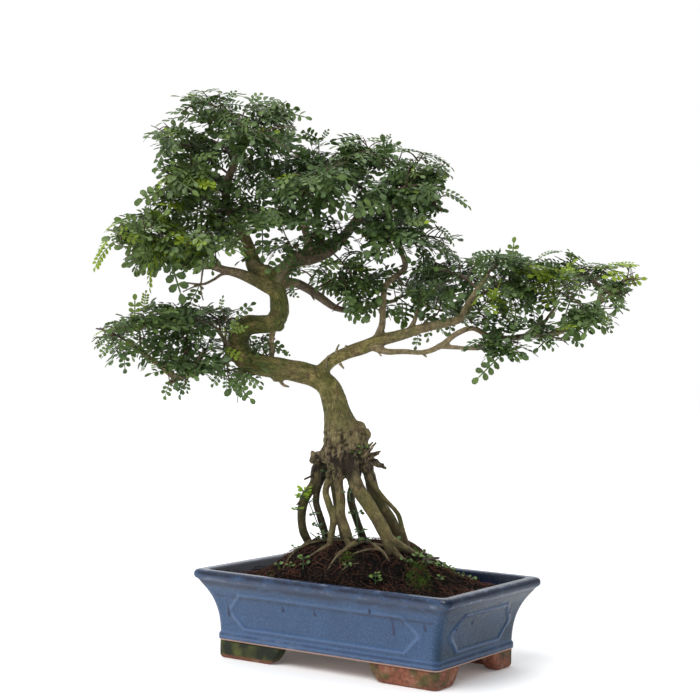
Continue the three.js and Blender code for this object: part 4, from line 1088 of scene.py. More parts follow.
# One edge of a leaflet and back along the other: how far out, and how wide.
LEAFLET = [
    (0.0, 0.0), (0.20, 0.56), (0.50, 1.0), (0.84, 0.82), (1.0, 0.0), (0.84, -0.82), (0.50, -1.0),
    (0.20, -0.56),
]
LEAFLET_THICKNESS, LEAFLET_FOLD = 0.3, 0.45
STALK_BELOW = 5.0
TWIG_THICK, TWIG_THIN = 1.3, 0.55
SIDE_TWIGS, LEAF_SPACING = 10, 3.4
# The shares of its full reach that a main shoot, and a side twig, try in turn until the tip has room.
MAIN_REACHES, SIDE_REACHES = (1.0, 0.85, 0.7, 0.55), (1.0, 0.8, 0.6, 0.4)
FORK_LENGTH, FILLING_PAD = 16, (26.0, 26.0, 22.0)
ROOM_ROUND_SOLID, ROOM_ROUND_ALL = 13, 4 * MM
# Where the best side is seen from, and the outline that the pads keep to from there: right and up.
VIEW_DISTANCE, VIEW_RIGHT, VIEW_HEIGHT = 1561.6, -19.76, 320.5
UPPER_OUTLINE = [
    (-196, 561), (-174, 570), (-150, 575), (-134, 574), (-112, 571), (-92, 567), (-77, 552), (-66, 542),
    (-52, 539), (-38, 537), (-34, 526), (-22, 531), (-12, 533), (2, 528), (16, 533), (28, 530), (43, 519),
    (59, 518), (68, 511), (76, 504), (76, 494), (70, 482), (76, 474), (88, 467), (76, 462), (70, 450),
    (70, 437), (90, 420), (112, 417), (130, 411), (148, 411), (165, 409), (187, 416), (199, 417),
    (207, 410), (228, 412), (240, 412), (262, 409), (261, 401), (268, 394), (277, 388), (275, 378),
    (259, 375), (257, 354), (242, 342), (229, 337), (216, 323), (192, 314), (178, 319), (168, 306),
    (154, 300), (133, 304), (116, 304), (96, 312), (70, 318), (46, 316), (28, 328), (2, 340), (-25, 341),
    (-55, 358), (-81, 357), (-87, 370), (-131, 397), (-135, 409), (-139, 395), (-166, 395), (-183, 387),
    (-190, 376), (-211, 382), (-223, 386), (-234, 378), (-244, 386), (-250, 400), (-258, 414), (-268, 424),
    (-266, 434), (-252, 446), (-236, 452), (-232, 460), (-227, 472), (-221, 494), (-223, 512), (-221, 522),
    (-236, 520), (-230, 530), (-219, 537), (-214, 548),
]
# Where the white shows through between the boughs: right, up, and how far round it.
OPENINGS = [
    (96, 327, 11), (85, 322, 8), (112, 334, 8), (178, 339, 8), (196, 335, 8), (208, 328, 7), (-171, 556, 6),
    (-131, 397, 9),
]
# The outline of the low branch on the left.
LOWER_OUTLINE = [
    (-282, 312), (-276, 329), (-258, 339), (-250, 346), (-237, 352), (-226, 358), (-212, 361), (-203, 357),
    (-189, 355), (-175, 360), (-161, 361), (-151, 361), (-142, 353), (-131, 357), (-123, 348), (-108, 330),
    (-88, 324), (-80, 312), (-84, 300), (-96, 292), (-107, 276), (-114, 266), (-130, 264), (-150, 273),
    (-165, 281), (-178, 276), (-188, 268), (-200, 266), (-211, 275), (-208, 288), (-233, 288), (-247, 292),
    (-262, 296), (-274, 300),
]
# Leaves that stand or hang alone: stalk and tip as right, away and up, then the kind of leaf.
LONE_LEAVES = [
    ((138, -20, 399), (141, -20, 428), 4), ((129, -45, 312), (98, -45, 280), 5),
    ((-200, -40, 406), (-185, -40, 360), 5), ((-209, -35, 402), (-228, -35, 367), 6),
    ((-135, -20, 290), (-119, -20, 258), 5), ((-179, -30, 281), (-181, -30, 262), 3),
    ((-195, -35, 279), (-202, -35, 260), 3), ((-145, -30, 286), (-156, -30, 274), 3),
    ((-128, -25, 286), (-105, -25, 271), 5), ((-109, 15, 326), (-82, 15, 303), 5),
    ((-109, 15, 324), (-119, 15, 308), 3), ((-109, 20, 322), (-99, 20, 304), 3),
    ((-110, 0, 438), (-109, 0, 392), 5), ((-231, -35, 335), (-231, -35, 367), 4),
    ((-249, -45, 421), (-278, -45, 401), 6), ((-253, -40, 412), (-276, -40, 389), 6),
    ((-241, -45, 432), (-262, -45, 429), 6), ((-211, -20, 526), (-237, -20, 518), 6),
    ((-148, 5, 560), (-137, 5, 574), 1), ((-126, 5, 556), (-113, 5, 570), 1),
    ((-112, 5, 556), (-94, 5, 568), 6), ((-170, 5, 561), (-195, 5, 565), 6),
    ((-180, -30, 282), (-190, -30, 262), 3), ((-139, -25, 282), (-115, -25, 259), 5),
    ((-141, -25, 284), (-141, -25, 264), 3), ((-89, 5, 310), (-77, 5, 303), 3),
    ((-83, 5, 371), (-72, 5, 361), 3), ((-83, 5, 375), (-75, 5, 369), 3),
    ((207, -10, 399), (237, -10, 407), 6), ((231, -14, 399), (263, -14, 408), 6),
    ((217, -10, 395), (245, -10, 406), 6), ((98, -10, 405), (114, -10, 414), 1),
    ((-190, -30, 282), (-184, -30, 264), 3), ((-108, 10, 315), (-83, 10, 308), 5),
    ((132, -30, 346), (146, -30, 332), 3), ((-52, 10, 524), (-43, 10, 536), 3),
    ((-29, 10, 520), (-13, 10, 533), 6), ((11, 0, 520), (18, 0, 532), 1), ((47, 10, 510), (83, 10, 506), 6),
    ((52, 10, 501), (83, 10, 494), 6), ((51, 10, 494), (76, 10, 482), 6),
    ((64, 15, 474), (103, 15, 466), 6), ((65, 15, 438), (89, 15, 422), 6),
    ((165, 0, 405), (187, 0, 422), 6), ((200, -5, 403), (198, -5, 418), 1),
    ((238, -14, 397), (266, -14, 409), 6), ((249, -14, 382), (277, -14, 390), 2),
    ((170, -30, 330), (183, -30, 313), 3), ((192, -25, 330), (210, -25, 321), 3),
    ((234, -12, 348), (240, -12, 329), 3), ((-26, -20, 373), (-21, -20, 343), 5),
    ((47, -20, 331), (45, -20, 313), 3), ((55, -20, 341), (59, -20, 321), 3),
    ((80, -20, 347), (77, -20, 327), 3), ((2, 20, 362), (-10, 20, 340), 3),
    ((26, 10, 359), (32, 10, 339), 3), ((-86, 10, 375), (-80, 10, 363), 3),
    ((-252, -40, 327), (-274, -40, 327), 6), ((-252, -40, 323), (-276, -40, 310), 6),
    ((-253, -45, 313), (-267, -45, 298), 3), ((-241, -45, 308), (-237, -45, 286), 3),
    ((-218, -45, 293), (-225, -45, 287), 3), ((-212, -45, 297), (-210, -45, 289), 3),
    ((-149, -20, 349), (-145, -20, 365), 4), ((-133, -15, 341), (-116, -15, 360), 3),
    ((-225, -25, 345), (-220, -25, 371), 6), ((-138, -25, 324), (-129, -25, 347), 4),
    ((-136, -25, 327), (-121, -25, 333), 4),
]
# Leafy side twigs that fill the pads out between the main shoots, from foot to tip.
FILLING_TWIGS = [
    ((-74, 6, 401), (-90, 6, 431)), ((-73, -14, 398), (-71, -14, 424)), ((-61, 10, 371), (-26, 10, 398)),
    ((-65, 0, 373), (-53, 0, 393)), ((-35, 20, 356), (-11, 20, 382)), ((-144, 6, 482), (-121, 6, 464)),
    ((-142, 2, 446), (-118, 2, 454)), ((-135, -8, 500), (-122, -8, 479)), ((-55, 30, 474), (-56, 30, 525)),
    ((-55, 20, 473), (-70, 20, 513)), ((37, 12, 494), (51, 12, 512)), ((12, 6, 480), (29, 6, 513)),
    ((23, -8, 485), (59, -8, 492)), ((-141, -10, 302), (-138, -10, 274)),
    ((-129, -6, 306), (-119, -6, 278)), ((-146, -20, 297), (-153, -20, 280)),
    ((-146, -16, 309), (-143, -16, 329)), ((96, -40, 361), (114, -40, 341)),
    ((89, -30, 351), (107, -30, 334)), ((-119, 22, 297), (-109, 22, 318)),
    ((-113, 20, 298), (-95, 20, 312)), ((-42, 0, 411), (-19, 0, 385)), ((25, 0, 386), (49, 0, 371)),
    ((-163, -30, 395), (-154, -30, 417)), ((-179, -24, 401), (-169, -24, 423)),
    ((-136, 6, 438), (-186, -4, 452)), ((-150, 4, 449), (-179, -8, 434)), ((-132, 6, 432), (-168, 0, 437)),
    ((-32, 16, 422), (-42, 8, 446)), ((-22, 18, 427), (-34, 6, 440)), ((-68, -4, 424), (-52, -6, 430)),
    ((-124, 4, 446), (-134, -4, 473)), ((49, -4, 363), (81, -14, 355)), ((69, -10, 363), (63, -16, 347)),
    ((134, -34, 334), (142, -30, 346)), ((-177, 0, 519), (-201, -6, 533)), ((-134, 4, 532), (-128, 0, 555)),
    ((-120, 4, 444), (-136, -8, 459)), ((102, -48, 315), (132, -42, 310)),
    ((236, -12, 368), (250, -12, 352)), ((200, -18, 340), (214, -16, 330)),
    ((-183, -18, 303), (-176, -22, 328)), ((-168, -20, 298), (-158, -22, 322)),
    ((-196, -26, 298), (-206, -26, 322)), ((-150, -18, 388), (-176, -24, 392)),
]
# Where the shoots are still young and yellow-green: right, up, and how far round it.
YOUNG_PLACES = [
    (181, 389, 17), (-198, 440, 19), (-178, 474, 7), (-124, 331, 14), (-234, 365, 16), (142, 423, 18),
    (-262, 412, 22), (226, 393, 14), (-25, 356, 12), (262, 403, 20), (-188, 412, 17), (-38, 532, 10),
    (108, 361, 14),
]
# Where light is painted onto the leaves, making them lighter than the rest: right, up, how far round it and
# how much.
PAINTED_LIGHT_PLACES = [
    (-205, 430, 60, 1.3), (-35, 365, 45, 0.5), (205, 360, 50, 0.15), (35, 350, 40, 0.2),
    (-150, 540, 40, 0.15),
]
PAD_GREEN = (0.066, 0.140, 0.031)
LIGHT_GREEN = (0.250, 0.360, 0.092)
GREY_GREEN = (0.086, 0.136, 0.068)
YOUNG_GREEN = (0.420, 0.560, 0.035)
RIB_GREEN = (0.150, 0.220, 0.070)
THROUGH_GREEN = (0.200, 0.320, 0.040)
TWIG_BROWN = (0.110, 0.070, 0.045)

leaf_finish, tree, surface, where = finish_of("leaf", 0.42, 0.4)
# The tint mixes the pad green towards a lighter green: at random, and lighter still where light is painted.
colour = layered(
    tree, mixed(tree, painted(tree, "tint_and_light"), PAD_GREEN, LIGHT_GREEN),
    (speckle(tree, where, 90, 3, 0.35, 0.7), GREY_GREEN), (painted(tree, "young"), YOUNG_GREEN),
    (times(tree, painted(tree, "rib"), 0.4), RIB_GREEN))
covered(tree, surface, colour, speckle(tree, where, 900, 3, 0, 1), 0.00015)
glow = node(tree, "ShaderNodeBsdfTranslucent", {"Color": mixed(tree, 0.5, colour, THROUGH_GREEN)})
through = node(tree, "ShaderNodeMixShader", {0: 0.35, 1: surface.outputs[0], 2: glow.outputs[0]})
tree.links.new(through.outputs[0], tree.nodes["Material Output"].inputs["Surface"])

twig_finish, tree, surface, where = finish_of("twig_bark", 0.7, 0.3)
colour = mixed(tree, speckle(tree, where, 240, 4, 0.35, 0.65), TWIG_BROWN, darker(TWIG_BROWN, 0.5))
covered(tree, surface, colour, speckle(tree, where, 800, 3, 0, 1), 0.0003)


def leaflet_faces(start, sides):
    """Four faces above and four below, from a middle point on each side of the leaflet to its edge."""
    faces = []
    for i in range(0, sides, 2):
        a, b, c = start + i, start + i + 1, start + (i + 2) % sides
        faces += [(c, b, a, start + sides), (a, b, c, start + sides + 1)]
    return faces


def leaf_mesh(name, pairs, spacing, long, half_width, arch):
    """One compound leaf along +X, its face up: a flat winged stalk and closed, slightly cupped leaflets."""
    points, faces, rib = [], [], []
    length = STALK_BELOW + spacing * pairs

    def on_stalk(s):
        t = s / length
        return np.array((s * (1 - 0.12 * arch * t), 0, length * (0.14 * t - arch * 0.55 * t * t)))

    for k in range(4):
        middle, wide = on_stalk(length * k / 3), 0.7 if k else 0.5
        points += [middle + (0, y, z) for y, z in ((-wide, 0), (wide, 0), (0, 0.35))]
        rib += [0.6] * 3
    for k in range(3):
        for a, b in ((0, 1), (1, 2), (2, 0)):
            faces.append((k * 3 + a, k * 3 + 3 + a, k * 3 + 3 + b, k * 3 + b))
    faces += [(0, 1, 2), (11, 10, 9)]

    def leaflet(base, way, size):
        way = unit(way)
        across = unit(np.cross((0, 0, 1), way))
        up = np.cross(way, across)
        faces.extend(leaflet_faces(len(points), len(LEAFLET)))
        for t, w in LEAFLET:
            points.append(base + way * t * size + across * w * half_width * size / long
                          + up * (abs(w) * LEAFLET_FOLD - 0.12 * size * t * t))
        for side in (1, -1):
            points.append(base + way * 0.55 * size + up * (side * LEAFLET_THICKNESS / 2 - 0.04 * size))
        rib.extend([0.0] * len(LEAFLET) + [1.0, 1.0])

    for pair in range(pairs):
        small = 0.74 + 0.26 * min(1, pair / 1.5)
        base = on_stalk(STALK_BELOW + spacing * pair)
        ahead = unit(on_stalk(STALK_BELOW + spacing * pair + 1) - base)
        for side in (1, -1):
            way = ahead * (0.42 + 0.04 * pair) + (0, side * 0.9, 0.10)
            leaflet(base + (0, side * 0.4, 0.1), way, long * small)
    leaflet(on_stalk(length), on_stalk(length) - on_stalk(length - 2), long * 1.05)
    return piece_of(name, np.array(points) * MM, faces, [leaf_finish], False, rib=rib)


def leaves_on_points():
    """Geometry nodes: a compound leaf on each point, turned to its way and its face, of the kind it names."""
    tree, given = nodes_for("leaves on points", "Buds", Kinds=("Collection", None),
                            Least_size=("Float", 0.78), Most_size=("Float", 1.14), Seed=("Int", 1),
                            Finish=("Material", None))
    buds = node(tree, "GeometryNodeMeshToPoints", {"Mesh": given["Buds"], "Radius": 0.001})
    way, face = (carried_value(tree, name, "FLOAT_VECTOR") for name in ("way", "face"))
    turn = node(tree, "FunctionNodeAxesToRotation", {"Primary Axis": way, "Secondary Axis": face},
                primary_axis="X", secondary_axis="Z")
    size = times(tree, random_size(tree, given), carried_value(tree, "share"))
    grown = node(tree, "GeometryNodeInstanceOnPoints", {
        "Points": buds.outputs[0], "Instance": kinds_apart(tree, given), "Pick Instance": True,
        "Instance Index": carried_value(tree, "kind", "INT"), "Rotation": turn.outputs[0], "Scale": size})
    return ended(tree, "Leaves", grown.outputs[0], given["Finish"])


leaf_box = kind_box("leaf_kinds", [leaf_mesh(f"leaf_kind_{i}", *kind) for i, kind in enumerate(LEAF_KINDS)])
leafing = leaves_on_points()
bough_cores = [row[:2] for line in (TRUNK[8:], *BOUGHS.values()) for row in sampled(line, 2)]
bough_places, bough_radii = (np.array(column) for column in zip(*bough_cores))


def turned_flat(way, angle):
    c, s = math.cos(angle), math.sin(angle)
    return np.array((way[0] * c - way[1] * s, way[0] * s + way[1] * c, way[2]))


def inside(x, y, outline):
    """Whether a place lies within a closed outline: how often a level line from it crosses the edge."""
    crossed = False
    for (ax, ay), (bx, by) in zip(outline, outline[1:] + outline[:1]):
        if (ay > y) != (by > y) and x < ax + (y - ay) / (by - ay) * (bx - ax):
            crossed = not crossed
    return crossed


def within_clipped(place):
    """Whether a place is inside the outline the pads are clipped to, as seen from the best side."""
    nearness = VIEW_DISTANCE / (VIEW_DISTANCE + place[1])
    x = VIEW_RIGHT + (place[0] - VIEW_RIGHT) * nearness
    z = VIEW_HEIGHT + (place[2] - VIEW_HEIGHT) * nearness
    spot = Vector(in_view(place))
    room = ROOM_ROUND_ALL
    if any(spot[i] < solid_low[i] - room or spot[i] > solid_high[i] + room for i in range(3)):
        return False
    if any(math.hypot(x - gap_x, z - gap_z) < reach for gap_x, gap_z, reach in OPENINGS):
        return False
    return inside(x, z, UPPER_OUTLINE) or inside(x, z, LOWER_OUTLINE)


def pad_shape(name):
    """The middle and half sizes of the pad a spray belongs to, from all its solids."""
    pad = name.rsplit("_", 1)[0]
    spots = np.concatenate([solids[n] for n in spray_names if n.rsplit("_", 1)[0] == pad])
    low, high = spots.min(0), spots.max(0)
    return (low + high) / 2, (high - low) / 2 + 6


def youth(place):
    for x, z, reach in YOUNG_PLACES:
        if math.hypot(place[0] - x, place[2] - z) < reach and place[1] < -3:
            return 0.75
    return 0.03


def painted_light(place):
    return sum(more * near(math.hypot(place[0] - x, place[2] - z), 0, reach)
               for x, z, reach, more in PAINTED_LIGHT_PLACES)


def leaf_length(kind):
    pairs, spacing, long = LEAF_KINDS[kind][:3]
    return STALK_BELOW + pairs * spacing + long


def grown_spray(name, number):
    """The twigs and buds of one spray, from its seat on the bough out through where its leaves hang."""
    draw = np.random.default_rng(500 + number)
    solid = solids[name]
    gaps = np.linalg.norm(solid[:, None, :] - bough_places[None, :, :], axis=2) - bough_radii[None, :]
    nearest = np.unravel_index(np.argmin(gaps), gaps.shape)[1]
    seat, thick = bough_places[nearest], bough_radii[nearest]
    low, high = solid.min(0) - ROOM_ROUND_SOLID, solid.max(0) + ROOM_ROUND_SOLID
    heart = solid.mean(0)
    pad_middle, pad_half = pad_shape(name)

    def kept(place):
        return bool(np.all(place > low) and np.all(place < high)) and within_clipped(place)

    out = unit((heart - seat) * (1, 1, 0.5))
    for length in (np.linalg.norm((heart - seat)[:2]) + 18) * np.array(MAIN_REACHES):
        end = seat + out * length
        end[2] = heart[2] + 4
        if kept(end):
            break
    middle = (seat + end) / 2 + (0, 0, 5)
    start = seat + unit(middle - seat) * thick * 0.5
    main = smooth_profile([(*start, TWIG_THICK), (*middle, TWIG_THICK * 0.85), (*end, TWIG_THIN)], 4)
    twigs = [main]
    flat_way = unit((end - start) * (1, 1, 0))
    for k in range(SIDE_TWIGS):
        share = 0.22 + 0.78 * k / SIDE_TWIGS
        at = main[int(share * (len(main) - 1))][:3]
        way = turned_flat(flat_way, (1 if k % 2 else -1) * draw.uniform(0.5, 1.4))
        rise = draw.uniform(0.1, 0.7) if k % 3 else draw.uniform(-0.7, -0.1)
        for reach in draw.uniform(28, 44) * np.array(SIDE_REACHES):
            tip = at + way * reach + (0, 0, reach * rise)
            if kept(tip):
                break
        else:
            continue
        bend = (at + tip) / 2 + (0, 0, 2.0)
        twigs.append(smooth_profile([(*at, TWIG_THIN * 1.3), (*bend, TWIG_THIN), (*tip, TWIG_THIN * 0.7)], 4))
    buds = []
    for order, twig in enumerate(twigs):
        buds += twig_buds(twig, 0.12 if order else 0.35, pad_middle, pad_half, kept, draw)
    return twigs, buds


def twig_buds(twig, first, pad_middle, pad_half, kept, draw):
    """Leaves along one twig, to its left and right in turn, leaning out of the pad and down at its foot."""
    run = sum(np.linalg.norm(b[:3] - a[:3]) for a, b in zip(twig, twig[1:]))
    count = max(4, round(run * (1 - first) / LEAF_SPACING))
    buds = []
    for k in range(count + 1):
        spot = (first + (1 - first) * k / count) * (len(twig) - 1)
        i = min(int(spot), len(twig) - 2)
        at = twig[i][:3] * (1 - spot + i) + twig[i + 1][:3] * (spot - i)
        ahead = unit(twig[i + 1][:3] - twig[i][:3])
        swing = draw.uniform(-0.3, 0.3) if k == count else (1 if k % 2 else -1) * draw.uniform(0.5, 1.5)
        outward = unit((at - pad_middle) / pad_half ** 2)
        face = outward * draw.uniform(0.0, 0.7) + (0, -0.18, draw.uniform(0.3, 1.2)) + draw.normal(0, 0.4, 3)
        face = unit(face * (1, 1, 1 if face[2] > 0 else 0.3))
        level = (at[2] - pad_middle[2]) / pad_half[2]
        way = turned_flat(unit(ahead * (1, 1, 0)), swing) + outward * 0.35
        way[2] += draw.uniform(-0.4, 0.35) + 0.35 * level - 0.1
        way = unit(way - face * np.dot(way, face) * 0.7)
        hanging = draw.random() < (0.5 if at[2] < 370 else 0.25) - 0.3 * level
        kinds, shares = HANGING_KINDS if hanging else STANDING_KINDS
        kind = int(draw.choice(kinds, p=shares))
        thinned = noise.noise(Vector(at * (0.055, 0.02, 0.075))) < -0.25 - 0.1 * level
        if thinned or not kept(at + way * leaf_length(kind) * 0.95 + draw.normal(0, 3.0, 3)):
            continue
        young = float(draw.random() < youth(at)) * draw.uniform(0.75, 1.0)
        # The tint differs at random, and painted light makes it lighter at the places listed for it.
        tint_and_light = min(1.0, draw.beta(1.1, 2.0) + painted_light(at))
        buds.append((at, way, face, YOUNG_KIND if young else kind, tint_and_light, young, 1.0))
    return buds


def nearest_spray(grown, place):
    """The spray, and the row of its twigs, that come closest to a place."""
    def gap(row):
        return np.linalg.norm(row[:3] - place)
    name = min(grown, key=lambda n: min(gap(row) for twig in grown[n][0] for row in twig))
    return name, min((row for twig in grown[name][0] for row in twig), key=gap)


def add_filling_twigs(grown):
    """Gives every filling twig, and a fork of it to one side, to the nearest spray."""
    draw = np.random.default_rng(31)
    for foot, tip in FILLING_TWIGS:
        foot, tip = np.array(foot, float), np.array(tip, float)
        name, _ = nearest_spray(grown, (foot + tip) / 2)
        middle = (foot + tip) / 2 + draw.normal(0, 2, 3)
        fork = middle + np.cross(unit(tip - foot), (0, 1, 0)) * FORK_LENGTH + (0, draw.uniform(-14, 14), 0)
        for line in ([foot, middle, tip], [middle, (middle + fork) / 2 + (0, 0, 2), fork]):
            twig = smooth_profile([(*p, TWIG_THICK * (0.8 - 0.2 * i)) for i, p in enumerate(line)], 4)
            grown[name][0].append(twig)
            grown[name][1].extend(twig_buds(twig, 0.15, middle, np.array(FILLING_PAD), within_clipped, draw))


def add_lone_leaves(grown):
    """Gives every lone leaf to the nearest spray, on a thin twig of its own."""
    draw = np.random.default_rng(77)
    for stalk, tip, kind in LONE_LEAVES:
        stalk, tip = np.array(stalk, float), np.array(tip, float)
        name, near_row = nearest_spray(grown, stalk)
        way = unit(tip - stalk)
        bend = (near_row[:3] + stalk) / 2 + draw.normal(0, 1.5, 3)
        knots = (near_row[:3], bend, stalk + way * 2)
        grown[name][0].append([np.array((*place, TWIG_THIN)) for place in knots])
        face = np.array((0, -0.5, 0.9)) if kind == ARCHING_KIND else np.array((0, -1, 0.35))
        young = 0.35 if kind == YOUNG_KIND else 0.8 * float(draw.random() < 1.5 * youth(tip))
        size = np.linalg.norm(tip - stalk) / leaf_length(kind) * 1.05
        face = unit(face + draw.normal(0, 0.25, 3))
        grown[name][1].append((stalk, way, face, kind, draw.uniform(0.2, 0.8), young, size))


def buds_object(buds):
    """A mesh of bare points, one for each bud, that keeps all that its leaf needs to know."""
    places, ways, faces, kinds, *shares = zip(*buds)
    mesh = bpy.data.meshes.new("buds")
    mesh.from_pydata([tuple(p) for p in in_view(places)], [], [])
    turn = Matrix.Rotation(TREE_TURN, 3, "Z")
    for name, rows in (("way", ways), ("face", faces)):
        keep_values(mesh, name, [tuple(turn @ Vector(row)) for row in rows], "FLOAT_VECTOR")
    keep_values(mesh, "kind", kinds, "INT")
    for name, values in zip(("tint_and_light", "young", "share"), shares):
        keep_values(mesh, name, values)
    return shown("buds", mesh)


def leafy_piece(name, twigs, buds, box, seed, finishes, spacing):
    """One piece of the stems along the twigs and the leaves on the buds."""
    lines = [[(*in_view(row[:3]), row[3] * MM) for row in twig] for twig in twigs]
    stem_part = made_real(lines_object("twig_lines", lines), stems, Spacing=spacing, Sides=5,
                          Finish=finishes[0])
    leaf_part = made_real(buds_object(buds), leafing, Kinds=box, Seed=seed, Finish=finishes[1])
    return joined_pieces(name, [shown("leaves", leaf_part), shown("twigs", stem_part)])


spray_names = sorted(n for n in frame["nodes"] if n.startswith("spray_"))
solids = {n: from_frame([tuple(v.co) for v in frame["nodes"][n].data.vertices]) for n in spray_names}
grown = {name: grown_spray(name, number) for number, name in enumerate(spray_names)}
add_filling_twigs(grown)
add_lone_leaves(grown)
for number, name in enumerate(spray_names):
    spray = leafy_piece(name.replace("spray_", "leafy_spray_"), *grown[name], leaf_box, number,
                        (twig_finish, leaf_finish), 4 * MM)
    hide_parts(name)
    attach(spray, "root")
cleared(leaf_box)


# Weeds. Small soft seedlings that have come up in the soil and between the roots: a thin stem or a few of
# them from one foot, each with round, notched, pale green leaves.
WEED_LEAF = [
    (0.0, 0.0), (0.22, 0.42), (0.46, 0.60), (0.60, 0.44), (0.80, 0.48), (1.0, 0.0), (0.80, -0.48),
    (0.60, -0.44), (0.46, -0.60), (0.22, -0.42),
]
WEED_LEAF_LONG, WEED_LEAF_STALK, WEED_STEM = 4.5, 1.2, 0.4
# Each named weed: foot as right and away on the soil, and how tall it stands.
SOIL_WEEDS = {
    "seedling_front": (8, -74, 10),
    "seedling_left": (-62, -44, 13),
    "seedling_right": (58, -34, 12),
}
# Smaller ones: right, away, how far above the soil, how wide the tuft is and how many leaves it has.
SMALL_WEEDS = [
    (38, -45, 3, 4, 9), (50, -28, 4, 4, 9), (-87, -22, 3, 3, 6), (-76, -35, 2, 2, 4), (-70, -14, 3, 4, 7),
    (66, -20, 3, 4, 10), (74, -8, 3, 4, 10), (84, 0, 3, 4, 10), (94, 6, 3, 4, 9), (106, 16, 3, 4, 9),
    (118, 26, 2, 3, 6), (-19, -62, 2, 2, 4), (72, -40, 2, 3, 6), (-44, 36, 3, 4, 8), (10, 56, 3, 4, 8),
    (56, 40, 3, 4, 8),
]
# Tufts on the roots: right, away, up, how wide, how many leaves and how yellow.
ROOT_WEEDS = [
    (-63, 2, 168, 7, 18, 1.0), (-66, 0, 163, 6, 16, 0.95), (-70, 4, 150, 5, 10, 0.6),
    (-58, 2, 158, 5, 8, 0.2), (-53, 0, 146, 5, 8, 0.1), (-50, 0, 134, 5, 9, 0.1), (-44, -4, 126, 5, 9, 0.1),
    (-11, -20, 150, 6, 9, 0.1), (-7, -22, 132, 6, 10, 0.1), (-2, -24, 124, 6, 10, 0.2),
    (-14, -24, 127, 5, 8, 0.1), (-6, -23, 216, 5, 6, 0.3), (-12, -24, 210, 4, 4, 0.2),
    (-20, -24, 171, 4, 4, 0.0), (-17, -24, 163, 4, 3, 0.0), (-42, -15, 190, 4, 5, 0.0),
    (26, -16, 124, 5, 8, 0.1), (-30, 4, 122, 5, 8, 0.1),
]
# Bare stalks that carry some of them, knot by knot.
WEED_STALKS = [
    [(-11, -20, 150), (-10, -20, 140), (-9, -21, 130), (-8, -22, 120)],
    [(-60, 2, 162), (-54, 0, 148), (-48, -2, 134), (-40, -5, 121)],
    [(-57, 2, 128), (-51, 0, 124), (-44, -4, 121)], [(-14, -24, 178), (-18, -24, 170), (-17, -24, 162)],
]
WEED_GREEN, DARK_WEED, YOUNG_WEED = (0.064, 0.115, 0.046), (0.032, 0.066, 0.028), (0.400, 0.600, 0.040)

weed_finish, tree, surface, where = finish_of("seedling_leaf", 0.5, 0.35)
colour = mixed(tree, speckle(tree, where, 160, 4), WEED_GREEN, DARK_WEED)
colour = mixed(tree, painted(tree, "young"), colour, YOUNG_WEED)
covered(tree, surface, colour, speckle(tree, where, 700, 3, 0, 1), 0.0003)


def weed_leaf(name, wide, cup):
    """One round notched leaf along +X on a short stalk, thin and closed, its middle a little lower."""
    long = WEED_LEAF_LONG
    points = [(WEED_LEAF_STALK + t * long, w * long * wide, abs(w) * cup) for t, w in WEED_LEAF]
    faces = leaflet_faces(0, len(WEED_LEAF))
    points += [(WEED_LEAF_STALK + 0.5 * long, 0, z) for z in (0.1, -0.25)]
    stalk = len(points)
    for x in (0, WEED_LEAF_STALK + 0.2):
        points += [(x, 0.18, 0.1), (x, -0.18, 0.1), (x, 0, -0.15)]
    stalk_faces = [(0, 1, 4, 3), (1, 2, 5, 4), (2, 0, 3, 5), (2, 1, 0), (3, 4, 5)]
    faces += [tuple(stalk + corner for corner in face) for face in stalk_faces]
    return piece_of(name, np.array(points) * MM, faces, [weed_finish], False)


def stalk_line(*knots):
    """A stalk through its knots, each a place and how thick the stalk is there beside a weed's stem."""
    return [np.array((*place, WEED_STEM * thick)) for place, thick in knots]


def tuft_buds(middle, wide, count, yellow, draw):
    """Leaves of one tuft, all round and up from its middle, with their stalks."""
    buds, stalks = [], []
    for k in range(count):
        turn, rise = k * 2.4 + draw.uniform(-0.4, 0.4), draw.uniform(0.0, 1.1)
        way = np.array((math.cos(turn), math.sin(turn) * 0.8 - 0.15, rise))
        at = np.array(middle, float) + unit(way) * wide * draw.uniform(0.15, 0.75)
        face = unit((0.0, -0.5, 1.0) + draw.normal(0, 0.3, 3))
        kind, young = int(draw.integers(0, 2)), yellow * draw.uniform(0.5, 1.0)
        size = draw.uniform(0.55, 1.0) * (1.35 if yellow > 0.8 else 1)
        buds.append((at, unit(way * (1, 1, 0.5)), face, kind, 0.5, young, size))
        stalks.append(stalk_line((middle, 1), ((at + middle) / 2, 1), (at, 0.7)))
    return buds, stalks


def soil_place(right, away, lift):
    return np.array((right, away, lumpy_soil(*from_view(right, away)) + lift))


weed_box = kind_box("weed_kinds", [weed_leaf("weed_leaf_0", 0.85, 0.9), weed_leaf("weed_leaf_1", 1.0, 0.5)])
draw = np.random.default_rng(9)
for name, (right_of, away_of, tall) in SOIL_WEEDS.items():
    foot, top = soil_place(right_of, away_of, -2), soil_place(right_of, away_of, tall - 3)
    buds, stalks = tuft_buds(top, 5, 9, 0.25, draw)
    more_buds, more_stalks = tuft_buds((foot + top) / 2, 4, 4, 0.1, draw)
    stalks += [stalk_line((foot, 1.5), ((foot + top) / 2, 1.3), (top, 1)), *more_stalks]
    weed = leafy_piece(name.replace("seedling", "soil_weed"), stalks, buds + more_buds, weed_box, 7,
                       (weed_finish, weed_finish), 1.5 * MM)
    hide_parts(name)
    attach(weed, "root")
buds, stalks = [], []
for right_of, away_of, lift, wide, count in SMALL_WEEDS:
    top = soil_place(right_of, away_of, lift)
    some_buds, some_stalks = tuft_buds(top, wide, count, 0.2, draw)
    buds += some_buds
    stalks += [*some_stalks, stalk_line((soil_place(right_of, away_of, -1), 1), (top, 1))]
for *place, wide, count, yellow in ROOT_WEEDS:
    some_buds, some_stalks = tuft_buds(np.array(place), wide, count, yellow, draw)
    buds += some_buds
    stalks += some_stalks
